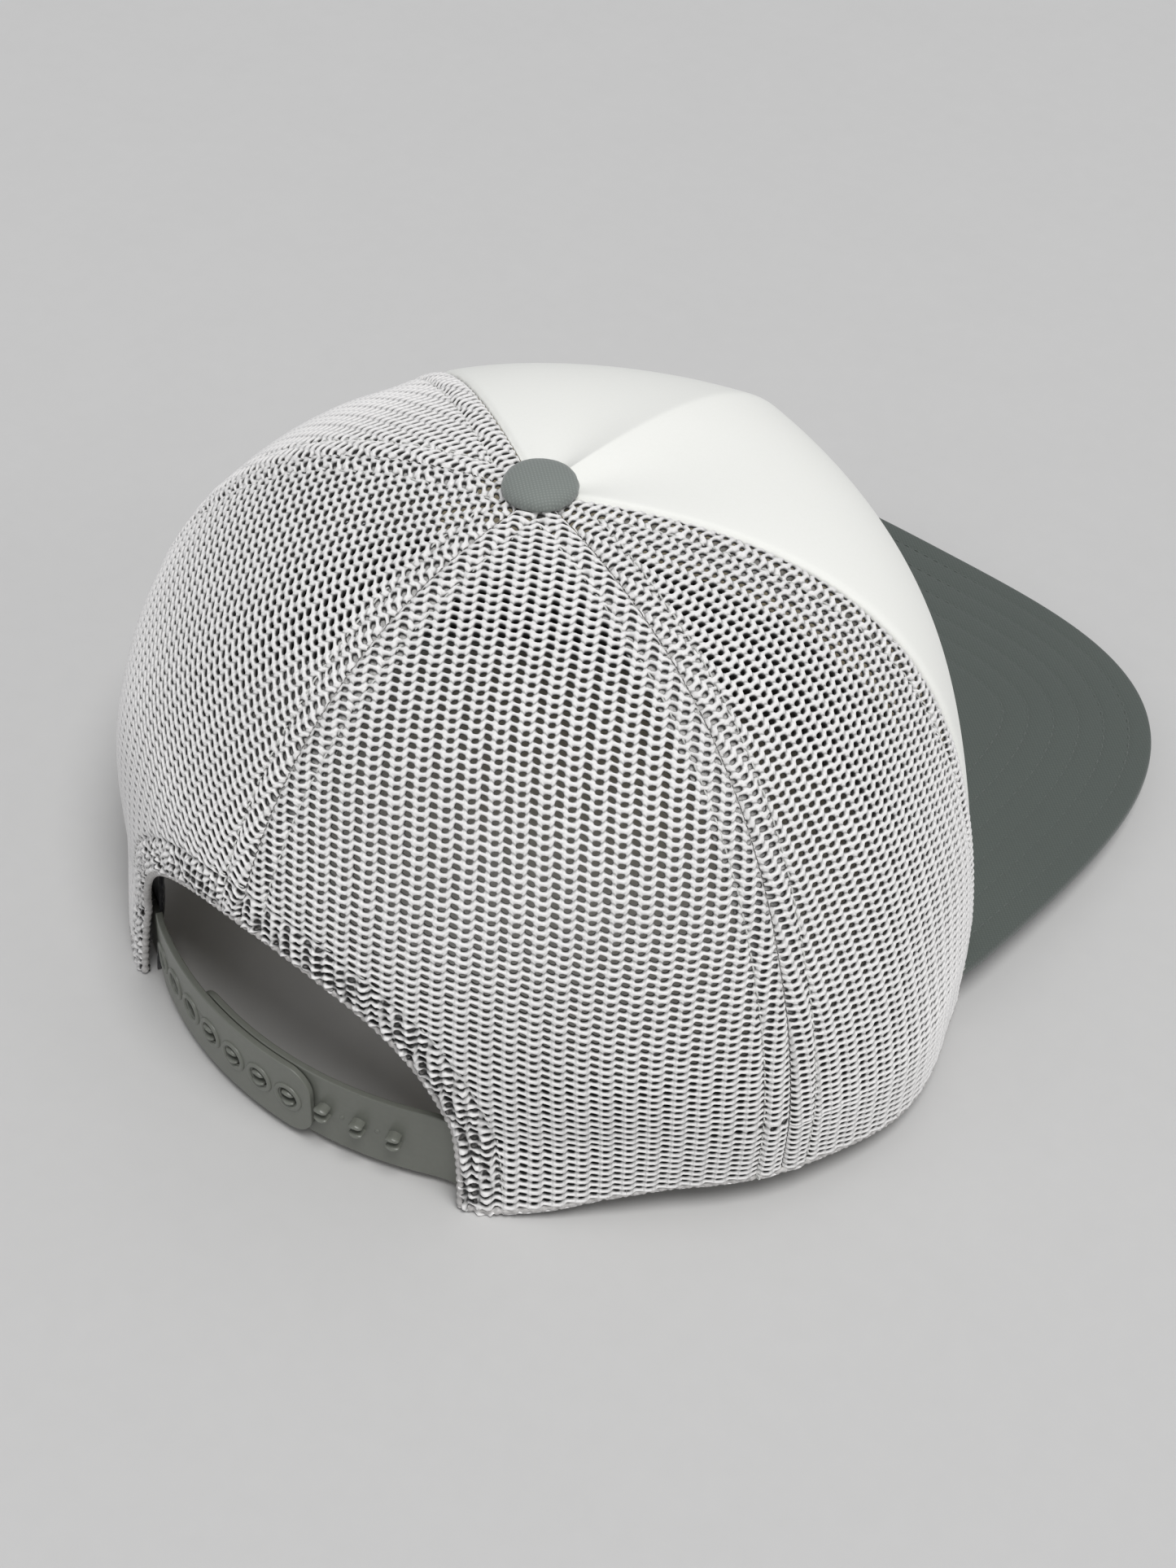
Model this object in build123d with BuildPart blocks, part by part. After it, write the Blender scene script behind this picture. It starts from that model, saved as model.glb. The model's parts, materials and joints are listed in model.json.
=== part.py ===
"""Foam-front trucker cap with a flat visor and a snap closure, as separate sewn and moulded pieces.

Frame, in millimetres: the cap rests on Z = 0, with the origin under the middle of its whole footprint.
+Z is up. -Y is the visor's way and +Y the closure's. +X is the wearer's left.
Pieces are drawn about the crown's own upright axis, and move back from it together when they are written.
"""

import os
from functools import lru_cache
from math import asin, cos, degrees, pi, radians, sin

from build123d import *

# ---------------------------------------------------------------- crown
CROWN_HEIGHT = 112.4
SIDE_REACH = 102.0
BACK_REACH = 95.6
FRONT_REACH = 89.6
RIM_POWER = 1.84
# A crown profile is reach * (1 - share ** round_off) ** (1 / fullness), share being height / crown height.
SIDE_ROUND_OFF, SIDE_FULLNESS = 2.49, 2.77
BACK_ROUND_OFF, BACK_FULLNESS = 2.41, 2.44
FRONT_ROUND_OFF, FRONT_FULLNESS = 4.95, 2.87
# The rim is drawn in (or let out, when negative) by this share of the reach, and blends away above it.
SIDE_TUCK, BACK_TUCK, FRONT_TUCK = -0.04, 0.11, 0.05
TUCK_START, TUCK_SPAN = 0.17, 0.42
PROFILE_SHARES = (0, 0.09, 0.18, 0.32, 0.46, 0.6, 0.73, 0.84, 0.92, 0.965, 0.99)
PROFILE_PITCH = 12.0
RIM_POINTS = 32
RIM_ALLOWANCE = 2.0

# Seams, as angles about the crown's axis from +X; the left side seam mirrors the right one.
SIDE_SEAM_RIGHT = 163.0
FRONT_SEAM_RIGHT, FRONT_SEAM_LEFT = 208.5, 331.5
BACK_SEAM = 90.0
SEAM_GAP = 0.3

# Layers, as depths below the crown's outer face.
FACE_THICKNESS = 0.6
FOAM_OUTER, FOAM_INNER = 0.8, 3.2
MESH_THICKNESS = 0.8
TAPE_OUTER, TAPE_INNER = 1.1, 1.6
FRONT_TAPE_OUTER, FRONT_TAPE_INNER = 3.5, 4.0
TAPE_WIDTH = 16.0
TAPE_TOP_RADIUS = 14.0
TAPE_SWEEP = 42.0
SWEATBAND_OUTER, SWEATBAND_INNER = 4.5, 5.5
SWEATBAND_BOTTOM, SWEATBAND_TOP = 0.4, 32.0
CROWN_EYE_RADIUS = 2.6
FOAM_EYE_RADIUS = 9.0

# Rear opening.
OPENING_HALF_WIDTH = 47.0
OPENING_HEIGHT = 54.8
OPENING_SQUARENESS = 0.8
BINDING_WIDTH = 8.0
BINDING_SWEEP = 46.0
OPENING_CLEARANCE = 0.3
SWEATBAND_SETBACK = 2.5
SWEATBAND_START = 26.0
SWEATBAND_LENGTHS = 4

# ---------------------------------------------------------------- visor
VISOR_HALF_WIDTH = 91.4
VISOR_HEEL = 36.7
VISOR_TIP = 157.5
VISOR_SQUARENESS = 0.55
VISOR_ROOT_HEIGHT = 7.4
VISOR_SLOPE = 4.6 / 70
VISOR_SIDE_DROP = 3.0
BOARD_THICKNESS = 2.2
COVER_THICKNESS = 0.5
COVER_GAP = 0.1
VISOR_TUCK = 3.0

# ---------------------------------------------------------------- button
BUTTON_RADIUS = 7.8
BUTTON_HEIGHT = 4.8
BUTTON_SKIN = 0.6
BUTTON_SHOULDER = 0.7
CUP_WALL = 0.8
RIVET_RADIUS = 2.2
RIVET_DISC_RADIUS = 6.5
RIVET_DISC_THICKNESS = 0.8

# ---------------------------------------------------------------- snap closure
STRAP_HEIGHT = 19.0
STRAP_BOTTOM = 1.2
STRAP_THICKNESS = 1.5
STRAP_CORNER = 6.0
STRAP_GAP = 0.2
STRAP_BOW = 11.0
HINGE_INSET = 4.2
HINGE_DEPTH = 2.6
HOLE_PITCH = 8.2
HOLE_RADIUS = 2.2
HOLE_COUNT = 7
FIRST_HOLE = 5 * HOLE_PITCH
HOLE_RIM_RADIUS = 3.4
HOLE_RIM_HEIGHT = 0.5
HOLE_STRAP_END = -14.2
PEG_RADIUS = 1.75
PEG_COUNT = 7
FIRST_PEG = 2 * HOLE_PITCH
PEG_LENGTH = 2.4
PEG_SLOT = 0.8
PEG_STRAP_END = 22.0
TAB_LENGTH = 16.0
TAB_OUTER, TAB_INNER = 1.9, 3.4
TAB_GAP = 0.3

FAR = 260.0
CROWN_SETBACK = 35.53

os.makedirs("parts", exist_ok=True)


def crown_reach(reach, round_off, fullness, tuck, share, depth):
    """Half-extent of the crown in one direction, at a share of its height, at a depth below its face."""
    blend = min(1, max(0, 1 - (share - TUCK_START) / TUCK_SPAN)) ** 1.5
    return (reach * (1 - tuck * blend) - depth) * (1 - share**round_off) ** (1 / fullness)


def section_radius(angle, share, depth):
    """Distance from the crown's axis to its surface, at an angle in degrees from +X."""
    across = crown_reach(SIDE_REACH, SIDE_ROUND_OFF, SIDE_FULLNESS, SIDE_TUCK, share, depth)
    if sin(radians(angle)) > 0:
        along = crown_reach(BACK_REACH, BACK_ROUND_OFF, BACK_FULLNESS, BACK_TUCK, share, depth)
    else:
        along = crown_reach(FRONT_REACH, FRONT_ROUND_OFF, FRONT_FULLNESS, FRONT_TUCK, share, depth)
    x_part = abs(cos(radians(angle)) / across) ** RIM_POWER
    y_part = abs(sin(radians(angle)) / along) ** RIM_POWER
    return (x_part + y_part) ** (-1 / RIM_POWER)


def polar(radius, angle, centre_y=0.0):
    """Plan point at a radius and an angle in degrees from +X."""
    return (radius * cos(radians(angle)), centre_y + radius * sin(radians(angle)))


def share_at_radius(angle, radius, depth):
    """Share of the crown's height at which its surface has closed in to a radius, by bisection."""
    low, high = 0.5, 1.0
    for _ in range(50):
        middle = (low + high) / 2
        if section_radius(angle, middle, depth) > radius:
            low = middle
        else:
            high = middle
    return low


def meridian(angle, depth, eye_radius):
    """Upright profile of the crown as (radius, height) points, from just below the rim up to its eye."""
    shares = [*PROFILE_SHARES, share_at_radius(angle, eye_radius, depth)]
    wall = [(section_radius(angle, share, depth), share * (CROWN_HEIGHT - depth)) for share in shares]
    return [(wall[0][0], -RIM_ALLOWANCE), *wall]


def upright(angle, shift=0.0):
    """Vertical plane through the crown's axis at an angle, moved sideways towards larger angles by a shift."""
    outward = Vector(*polar(1, angle))
    sideways = Vector(-outward.Y, outward.X)
    return Plane(origin=sideways * shift, x_dir=outward, z_dir=-sideways)


def gore(outer, inner, first_seam, last_seam, eye_radius):
    """Curved crown panel between two depths, lofted from one seam to the next and trimmed level at the rim."""
    steps = max(3, round((last_seam - first_seam) / PROFILE_PITCH))
    with BuildPart() as shell:
        for step in range(steps + 1):
            part_way = step / steps
            angle = first_seam + (last_seam - first_seam) * part_way
            with BuildSketch(upright(angle, SEAM_GAP * (0.5 - part_way))):
                with BuildLine():
                    face = Spline(meridian(angle, outer, eye_radius))
                    back = Spline(meridian(angle, inner, eye_radius))
                    Line(face @ 0, back @ 0)
                    Line(face @ 1, back @ 1)
                make_face()
        loft()
        with BuildSketch(Plane.XY):
            Rectangle(FAR, FAR)
        extrude(amount=CROWN_HEIGHT, mode=Mode.INTERSECT)
    return shell.part


def rim_block(depth):
    """Upright block of the rim's plan shape at a depth, tall enough to clear the visor's inner edge."""
    angles = [360 * step / RIM_POINTS for step in range(RIM_POINTS)]
    with BuildPart() as block:
        with BuildSketch(Plane.XY.offset(-FAR / 4)):
            with BuildLine():
                Spline([polar(section_radius(a, 0, depth), a) for a in angles], periodic=True)
            make_face()
        extrude(amount=FAR / 2)
    return block.part


def opening(margin):
    """Cutter for the rear opening, grown all round by a margin."""
    width = OPENING_HALF_WIDTH + margin
    height = OPENING_HEIGHT + margin
    turns = [pi * step / 12 for step in range(13)]
    with BuildPart() as cutter:
        with BuildSketch(Plane.XZ):
            with BuildLine():
                arch = Spline([(width * cos(t), height * sin(t) ** OPENING_SQUARENESS) for t in turns])
                Polyline(arch @ 1, (-width, -5), (width, -5), arch @ 0)
            make_face()
        extrude(amount=-FAR)
    return cutter.part


def visor_slab(bottom, top, margin):
    """Curved, sloping slab of the visor between two heights from its middle surface, with a grown outline."""
    turns = [pi * step / 24 for step in range(25)]
    half_width = VISOR_HALF_WIDTH + margin
    length = VISOR_TIP - VISOR_HEEL + margin
    root = Plane(origin=(0, 0, VISOR_ROOT_HEIGHT + VISOR_SLOPE * FRONT_REACH), x_dir=(1, 0, 0),
                 z_dir=(0, -1, -VISOR_SLOPE))
    side_drop = VISOR_SIDE_DROP * (FAR / 2 / VISOR_HALF_WIDTH) ** 2
    with BuildPart() as slab:
        with BuildSketch(root):
            with BuildLine():
                crest = ThreePointArc((-FAR / 2, top - side_drop), (0, top), (FAR / 2, top - side_drop))
                trough = ThreePointArc((-FAR / 2, bottom - side_drop), (0, bottom), (FAR / 2, bottom - side_drop))
                Line(crest @ 0, trough @ 0)
                Line(crest @ 1, trough @ 1)
            make_face()
        extrude(amount=FAR)
        with BuildSketch(Plane.XY.offset(-60)):
            with BuildLine():
                edge = Spline([outline_point(t, half_width, length) for t in turns])
                Line(edge @ 1, edge @ 0)
            make_face()
        extrude(amount=120, mode=Mode.INTERSECT)
    return slab.part


def outline_point(turn, half_width, length):
    """Point of the visor's squarish outer edge, from its right heel (0) round the tip to its left (pi)."""
    across = -half_width * abs(cos(turn)) ** VISOR_SQUARENESS
    if cos(turn) < 0:
        across = -across
    return (across, -VISOR_HEEL - length * sin(turn) ** VISOR_SQUARENESS)


VISOR_TOP = BOARD_THICKNESS / 2 + COVER_GAP + COVER_THICKNESS


@lru_cache(maxsize=None)
def visor_clearance():
    """Everything at and below the visor, which the crown panels above it stop short of."""
    return visor_slab(-30, VISOR_TOP + COVER_GAP, COVER_THICKNESS + COVER_GAP)


def crown_panel(outer, inner, first_seam, last_seam, eye_radius):
    """One front or side gore, which stops short of the visor below it."""
    with BuildPart() as panel:
        add(gore(outer, inner, first_seam, last_seam, eye_radius))
        add(visor_clearance(), mode=Mode.SUBTRACT)
    return panel.part


def seam_tape(outer, inner, seam):
    """Narrow tape inside the crown, from below the button down to the rim, along one seam."""
    with BuildPart() as tape:
        add(gore(outer, inner, seam - TAPE_SWEEP, seam + TAPE_SWEEP, TAPE_TOP_RADIUS))
        with BuildSketch(Plane.XY.offset(SWEATBAND_BOTTOM)):
            with Locations(Location((*polar(FAR / 2, seam), 0), (0, 0, seam))):
                Rectangle(FAR, TAPE_WIDTH)
        extrude(amount=CROWN_HEIGHT, mode=Mode.INTERSECT)
        add(visor_clearance(), mode=Mode.SUBTRACT)
    return tape.part


def band_length(first, last):
    """Length of the sweatband from one angle to another, which leans with the crown's wall."""
    corners = (
        (SWEATBAND_OUTER, SWEATBAND_BOTTOM),
        (SWEATBAND_OUTER, SWEATBAND_TOP),
        (SWEATBAND_INNER, SWEATBAND_TOP),
        (SWEATBAND_INNER, SWEATBAND_BOTTOM),
    )
    steps = round((last - first) / PROFILE_PITCH)
    with BuildPart() as strip:
        for step in range(steps + 1):
            angle = first + (last - first) * step / steps
            with BuildSketch(upright(angle)):
                with BuildLine():
                    Polyline(
                        [(section_radius(angle, z / (CROWN_HEIGHT - depth), depth), z) for depth, z in corners],
                        close=True,
                    )
                make_face()
        loft()
    return strip.part


# ================================================================ crown panels
with BuildPart() as front_panel:
    add(crown_panel(0, FACE_THICKNESS, FRONT_SEAM_RIGHT, FRONT_SEAM_LEFT, CROWN_EYE_RADIUS))

with BuildPart() as front_foam:
    add(crown_panel(FOAM_OUTER, FOAM_INNER, FRONT_SEAM_RIGHT, FRONT_SEAM_LEFT, FOAM_EYE_RADIUS))

with BuildPart() as side_mesh_right:
    add(crown_panel(0, MESH_THICKNESS, SIDE_SEAM_RIGHT, FRONT_SEAM_RIGHT, CROWN_EYE_RADIUS))

with BuildPart() as side_mesh_left:
    mirror(side_mesh_right.part, about=Plane.YZ)

with BuildPart() as back_mesh_right:
    add(gore(0, MESH_THICKNESS, BACK_SEAM, SIDE_SEAM_RIGHT, CROWN_EYE_RADIUS))
    add(opening(0), mode=Mode.SUBTRACT)

with BuildPart() as back_mesh_left:
    mirror(back_mesh_right.part, about=Plane.YZ)

# ================================================================ tapes, binding and sweatband
with BuildPart() as front_seam_tape_right:
    add(seam_tape(FRONT_TAPE_OUTER, FRONT_TAPE_INNER, FRONT_SEAM_RIGHT))

with BuildPart() as front_seam_tape_left:
    mirror(front_seam_tape_right.part, about=Plane.YZ)

with BuildPart() as side_seam_tape_right:
    add(seam_tape(TAPE_OUTER, TAPE_INNER, SIDE_SEAM_RIGHT))

with BuildPart() as side_seam_tape_left:
    mirror(side_seam_tape_right.part, about=Plane.YZ)

# The back seam's tape ends where it meets the binding of the opening.
with BuildPart() as back_seam_tape:
    add(seam_tape(TAPE_OUTER, TAPE_INNER, BACK_SEAM))
    add(opening(BINDING_WIDTH + 1), mode=Mode.SUBTRACT)

# The binding runs up one side of the rear opening, over the arch and down the other.
with BuildPart() as arch_binding:
    add(gore(TAPE_OUTER, TAPE_INNER, BACK_SEAM - BINDING_SWEEP, BACK_SEAM + BINDING_SWEEP, TAPE_TOP_RADIUS))
    add(opening(BINDING_WIDTH), mode=Mode.INTERSECT)
    add(opening(OPENING_CLEARANCE), mode=Mode.SUBTRACT)

# The sweatband is one strip inside the rim, open at the back between the ends of the closure.
with BuildPart() as sweatband:
    band_start = BACK_SEAM + SWEATBAND_START
    band_run = (360 - 2 * SWEATBAND_START) / SWEATBAND_LENGTHS
    for length in range(SWEATBAND_LENGTHS):
        add(band_length(band_start + band_run * length, band_start + band_run * (length + 1)))
    add(opening(SWEATBAND_SETBACK), mode=Mode.SUBTRACT)

# ================================================================ visor
BOARD_TOP = BOARD_THICKNESS / 2
UNDER_FACE = -BOARD_TOP - COVER_GAP - COVER_THICKNESS

with BuildPart() as visor_board:
    add(visor_slab(-BOARD_TOP, BOARD_TOP, 0))
    add(rim_block(VISOR_TUCK), mode=Mode.SUBTRACT)

# The top cover lies on the board and turns down over its outer edge.
with BuildPart() as visor_top_cover:
    add(visor_slab(-BOARD_TOP, VISOR_TOP, COVER_THICKNESS + COVER_GAP))
    add(visor_slab(-2 * BOARD_THICKNESS, BOARD_TOP + COVER_GAP, COVER_GAP), mode=Mode.SUBTRACT)
    add(rim_block(VISOR_TUCK), mode=Mode.SUBTRACT)

with BuildPart() as visor_under_cover:
    add(visor_slab(UNDER_FACE, -BOARD_TOP - COVER_GAP, COVER_THICKNESS + COVER_GAP))
    add(rim_block(VISOR_TUCK), mode=Mode.SUBTRACT)

# ================================================================ button
BUTTON_SEAT = CROWN_HEIGHT + 0.1


def button_shell(radius, height, wall):
    """Low round-shouldered shell of one wall thickness, open below, standing on the button's seat."""
    with BuildPart() as shell:
        with BuildSketch(Plane.XY.offset(BUTTON_SEAT)):
            Circle(radius)
        extrude(amount=height)
        fillet(shell.edges().group_by(Axis.Z)[-1], BUTTON_SHOULDER * height)
        offset(amount=-wall, openings=shell.faces().sort_by(Axis.Z)[0])
    return shell.part


CUP_RADIUS = BUTTON_RADIUS - BUTTON_SKIN - 0.1
CUP_HEIGHT = BUTTON_HEIGHT - BUTTON_SKIN - 0.2

with BuildPart() as button_cover:
    add(button_shell(BUTTON_RADIUS, BUTTON_HEIGHT, BUTTON_SKIN))

with BuildPart() as button_cup:
    add(button_shell(CUP_RADIUS, CUP_HEIGHT, CUP_WALL))

# The rivet's disc bears on the inside of the mesh and its shank reaches up through the crown into the cup.
RIVET_DISC_TOP = CROWN_HEIGHT - MESH_THICKNESS - 0.2

with BuildPart() as button_rivet:
    with BuildSketch(Plane.XY.offset(RIVET_DISC_TOP - RIVET_DISC_THICKNESS)):
        Circle(RIVET_DISC_RADIUS)
    extrude(amount=RIVET_DISC_THICKNESS)
    with BuildSketch(Plane.XY.offset(RIVET_DISC_TOP)):
        Circle(RIVET_RADIUS)
    extrude(amount=BUTTON_SEAT + CUP_HEIGHT - CUP_WALL - 0.6 - RIVET_DISC_TOP)

# ================================================================ snap closure
# Both straps bow outwards on one arc, which meets the crown's wall at the two corners of the opening.
HINGE_X = OPENING_HALF_WIDTH - HINGE_INSET
WALL_ACROSS = SIDE_REACH * (1 - SIDE_TUCK) - HINGE_DEPTH
WALL_ALONG = BACK_REACH * (1 - BACK_TUCK) - HINGE_DEPTH
HINGE_Y = WALL_ALONG * (1 - (HINGE_X / WALL_ACROSS) ** RIM_POWER) ** (1 / RIM_POWER)
ARC_RADIUS = (HINGE_X**2 + STRAP_BOW**2) / (2 * STRAP_BOW)
ARC_CENTRE_Y = HINGE_Y + STRAP_BOW - ARC_RADIUS
HALF_ARC = degrees(asin(HINGE_X / ARC_RADIUS))
STRAP_MIDDLE = STRAP_BOTTOM + STRAP_HEIGHT / 2
OUTER_LAYER = ARC_RADIUS + STRAP_GAP / 2
INNER_LAYER = ARC_RADIUS - STRAP_GAP / 2 - STRAP_THICKNESS


def arc_plane(run, radius):
    """Plane facing outwards on the strap's arc, at a run in mm from its middle towards +X, at mid height."""
    angle = 90 - degrees(run / ARC_RADIUS)
    x, y = polar(radius, angle, ARC_CENTRE_Y)
    outward = Vector(*polar(1, angle))
    return Plane(origin=(x, y, STRAP_MIDDLE), x_dir=Vector(outward.Y, -outward.X, 0), z_dir=outward)


def hinge_point(layer, side):
    """Plan point of a strap's hinge axis, at the side (+1 or -1) where it is sewn in."""
    return polar(layer + STRAP_THICKNESS / 2, 90 - side * HALF_ARC, ARC_CENTRE_Y)


def strap_band(layer, side, end):
    """Curved strap from its hinge to an end with rounded corners, with a round root for the hinge."""
    hinge = hinge_point(layer, side)
    end_x = ARC_RADIUS * sin(end / ARC_RADIUS)
    with BuildPart() as band:
        with BuildSketch(Plane.XY.offset(STRAP_BOTTOM)):
            with Locations((0, ARC_CENTRE_Y)):
                Circle(layer + STRAP_THICKNESS)
                Circle(layer, mode=Mode.SUBTRACT)
        extrude(amount=STRAP_HEIGHT)
        with BuildSketch(Plane.XZ) as face:
            with Locations(((hinge[0] + end_x) / 2, STRAP_MIDDLE)):
                Rectangle(abs(hinge[0] - end_x), STRAP_HEIGHT)
            fillet(face.vertices().group_by(Axis.X)[0 if side > 0 else -1], STRAP_CORNER)
        extrude(amount=-FAR, mode=Mode.INTERSECT)
        with BuildSketch(Plane.XY.offset(STRAP_BOTTOM)):
            with Locations(hinge):
                Circle(STRAP_THICKNESS / 2)
        extrude(amount=STRAP_HEIGHT)
    return band.part


def strap_tab(layer, side):
    """Sewn end of a strap, between the mesh and the sweatband, just past the hinge."""
    start = abs(hinge_point(layer, side)[0]) + STRAP_THICKNESS / 2 + TAB_GAP
    with BuildPart() as tab:
        add(gore(TAB_OUTER, TAB_INNER, BACK_SEAM - BINDING_SWEEP, BACK_SEAM + BINDING_SWEEP, TAPE_TOP_RADIUS))
        with BuildSketch(Plane.XY.offset(STRAP_BOTTOM)):
            with Locations((side * (start + TAB_LENGTH / 2), FAR / 4)):
                Rectangle(TAB_LENGTH, FAR / 2)
        extrude(amount=STRAP_HEIGHT - 3, mode=Mode.INTERSECT)
    return tab.part


with BuildPart() as hole_strap:
    add(strap_band(OUTER_LAYER, 1, HOLE_STRAP_END))
    hole_runs = [FIRST_HOLE - HOLE_PITCH * step for step in range(HOLE_COUNT)]
    with BuildSketch(*[arc_plane(run, OUTER_LAYER + STRAP_THICKNESS / 2) for run in hole_runs]):
        Circle(HOLE_RIM_RADIUS)
    extrude(amount=STRAP_THICKNESS / 2 + HOLE_RIM_HEIGHT)
    with BuildSketch(*[arc_plane(run, INNER_LAYER) for run in hole_runs]):
        Circle(HOLE_RADIUS)
    extrude(amount=4 * STRAP_THICKNESS, mode=Mode.SUBTRACT)

with BuildPart() as peg_strap:
    add(strap_band(INNER_LAYER, -1, PEG_STRAP_END))
    peg_runs = [FIRST_PEG - HOLE_PITCH * step for step in range(PEG_COUNT)]
    with BuildSketch(*[arc_plane(run, INNER_LAYER + STRAP_THICKNESS / 2) for run in peg_runs]):
        Circle(PEG_RADIUS)
    extrude(amount=STRAP_THICKNESS / 2 + PEG_LENGTH)
    with BuildSketch(*[arc_plane(run, OUTER_LAYER + STRAP_GAP) for run in peg_runs]):
        Rectangle(3 * PEG_RADIUS, PEG_SLOT)
    extrude(amount=PEG_LENGTH, mode=Mode.SUBTRACT)

with BuildPart() as hole_strap_tab:
    add(strap_tab(OUTER_LAYER, 1))

with BuildPart() as peg_strap_tab:
    add(strap_tab(INNER_LAYER, -1))

# ================================================================ labels and files
PIECES = {
    "front_panel": front_panel,
    "front_foam": front_foam,
    "side_mesh_left": side_mesh_left,
    "side_mesh_right": side_mesh_right,
    "back_mesh_left": back_mesh_left,
    "back_mesh_right": back_mesh_right,
    "front_seam_tape_left": front_seam_tape_left,
    "front_seam_tape_right": front_seam_tape_right,
    "side_seam_tape_left": side_seam_tape_left,
    "side_seam_tape_right": side_seam_tape_right,
    "back_seam_tape": back_seam_tape,
    "arch_binding": arch_binding,
    "sweatband": sweatband,
    "visor_board": visor_board,
    "visor_top_cover": visor_top_cover,
    "visor_under_cover": visor_under_cover,
    "button_cover": button_cover,
    "button_cup": button_cup,
    "button_rivet": button_rivet,
    "hole_strap": hole_strap,
    "hole_strap_tab": hole_strap_tab,
    "peg_strap": peg_strap,
    "peg_strap_tab": peg_strap_tab,
}

for name, piece in PIECES.items():
    placed = piece.part.moved(Location((0, CROWN_SETBACK, 0)))
    placed.label = name
    export_step(placed, f"parts/{name}.step")
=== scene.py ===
"""Looks of the foam-front trucker cap: knitted mesh, foam front, stitched visor, button, snap straps."""

import json
from math import atan2, ceil, cos, pi, radians, sin, sqrt

import bmesh
import bpy
import numpy as np
from mathutils import Matrix, Vector


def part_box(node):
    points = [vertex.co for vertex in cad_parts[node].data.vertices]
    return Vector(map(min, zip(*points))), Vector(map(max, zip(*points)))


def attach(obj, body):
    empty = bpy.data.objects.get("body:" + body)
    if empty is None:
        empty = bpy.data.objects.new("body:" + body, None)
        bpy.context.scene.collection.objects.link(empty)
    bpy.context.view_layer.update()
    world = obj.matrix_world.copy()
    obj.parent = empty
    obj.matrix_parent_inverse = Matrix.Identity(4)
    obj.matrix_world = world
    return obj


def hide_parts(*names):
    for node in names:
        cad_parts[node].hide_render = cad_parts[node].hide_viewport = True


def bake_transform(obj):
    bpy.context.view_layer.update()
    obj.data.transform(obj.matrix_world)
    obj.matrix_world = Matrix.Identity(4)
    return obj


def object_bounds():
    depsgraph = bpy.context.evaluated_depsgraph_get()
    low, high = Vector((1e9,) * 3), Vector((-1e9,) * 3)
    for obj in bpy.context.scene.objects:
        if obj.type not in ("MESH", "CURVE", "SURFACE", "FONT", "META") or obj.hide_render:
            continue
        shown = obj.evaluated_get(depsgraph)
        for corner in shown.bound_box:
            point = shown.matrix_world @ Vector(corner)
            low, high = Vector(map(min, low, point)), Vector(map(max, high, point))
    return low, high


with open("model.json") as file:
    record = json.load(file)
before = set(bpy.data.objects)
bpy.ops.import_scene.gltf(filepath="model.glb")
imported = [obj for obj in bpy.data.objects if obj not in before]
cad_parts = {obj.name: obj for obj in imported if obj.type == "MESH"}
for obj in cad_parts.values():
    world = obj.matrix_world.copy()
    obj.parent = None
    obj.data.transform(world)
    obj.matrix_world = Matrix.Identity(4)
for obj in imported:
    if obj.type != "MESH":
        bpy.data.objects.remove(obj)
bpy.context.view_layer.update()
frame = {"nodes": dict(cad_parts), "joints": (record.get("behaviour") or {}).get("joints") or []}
JOINTS = {joint["name"]: joint for joint in frame["joints"]}
MM = 0.001

# Pieces are drawn about the crown's own upright axis, which passes through the button, and then moved there.
BUTTON_LOW, BUTTON_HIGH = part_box("button_cover")
AXIS = Vector(((BUTTON_LOW.x + BUTTON_HIGH.x) / 2, (BUTTON_LOW.y + BUTTON_HIGH.y) / 2, 0))

# -------- crown shape, as in the frame
CROWN_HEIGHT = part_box("side_mesh_left")[1].z
SIDE_REACH, BACK_REACH, FRONT_REACH = 0.102, 0.0956, 0.0896
RIM_POWER = 1.84
SIDE_FORM = (SIDE_REACH, 2.49, 2.77, -0.04)
BACK_FORM = (BACK_REACH, 2.41, 2.44, 0.11)
FRONT_FORM = (FRONT_REACH, 4.95, 2.87, 0.05)
TUCK_START, TUCK_SPAN = 0.17, 0.42
SIDE_SEAM_LEFT, BACK_SEAM, SIDE_SEAM_RIGHT = 17.0, 90.0, 163.0
FRONT_SEAM_RIGHT, FRONT_SEAM_LEFT = 208.5, 331.5
SEAM_ANGLES = (SIDE_SEAM_LEFT, BACK_SEAM, SIDE_SEAM_RIGHT, FRONT_SEAM_RIGHT, FRONT_SEAM_LEFT,
               SIDE_SEAM_LEFT + 360)
PANEL_SAG = (1.1 * MM, 1.1 * MM, 1.8 * MM, -0.6 * MM, 1.8 * MM)
ARCH_HALF_WIDTH, ARCH_HEIGHT, ARCH_SQUARENESS = 0.047, 0.0548, 0.8
HEM_WIDTH = 8.0 * MM

# -------- visor shape
VISOR_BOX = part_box("visor_board")
VISOR_HALF_WIDTH = VISOR_BOX[1].x - AXIS.x
VISOR_TIP = AXIS.y - VISOR_BOX[0].y
VISOR_HEEL, VISOR_SQUARENESS = 0.0367, 0.55
VISOR_ROOT_HEIGHT, VISOR_SLOPE, VISOR_SIDE_DROP = 0.0074, 4.6 / 70, 0.003
VISOR_HALF = 1.7 * MM


# ======== mesh helpers
def make_object(name, points, faces):
    """Smooth-shaded object of points (n, 3) and faces, an (m, 4) array or a list of tuples."""
    mesh = bpy.data.meshes.new(name)
    mesh.from_pydata([tuple(p) for p in points], [], [tuple(int(i) for i in f) for f in faces])
    mesh.validate()
    mesh.update()
    mesh.polygons.foreach_set("use_smooth", [True] * len(mesh.polygons))
    piece = bpy.data.objects.new(name, mesh)
    bpy.context.scene.collection.objects.link(piece)
    return piece


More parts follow.
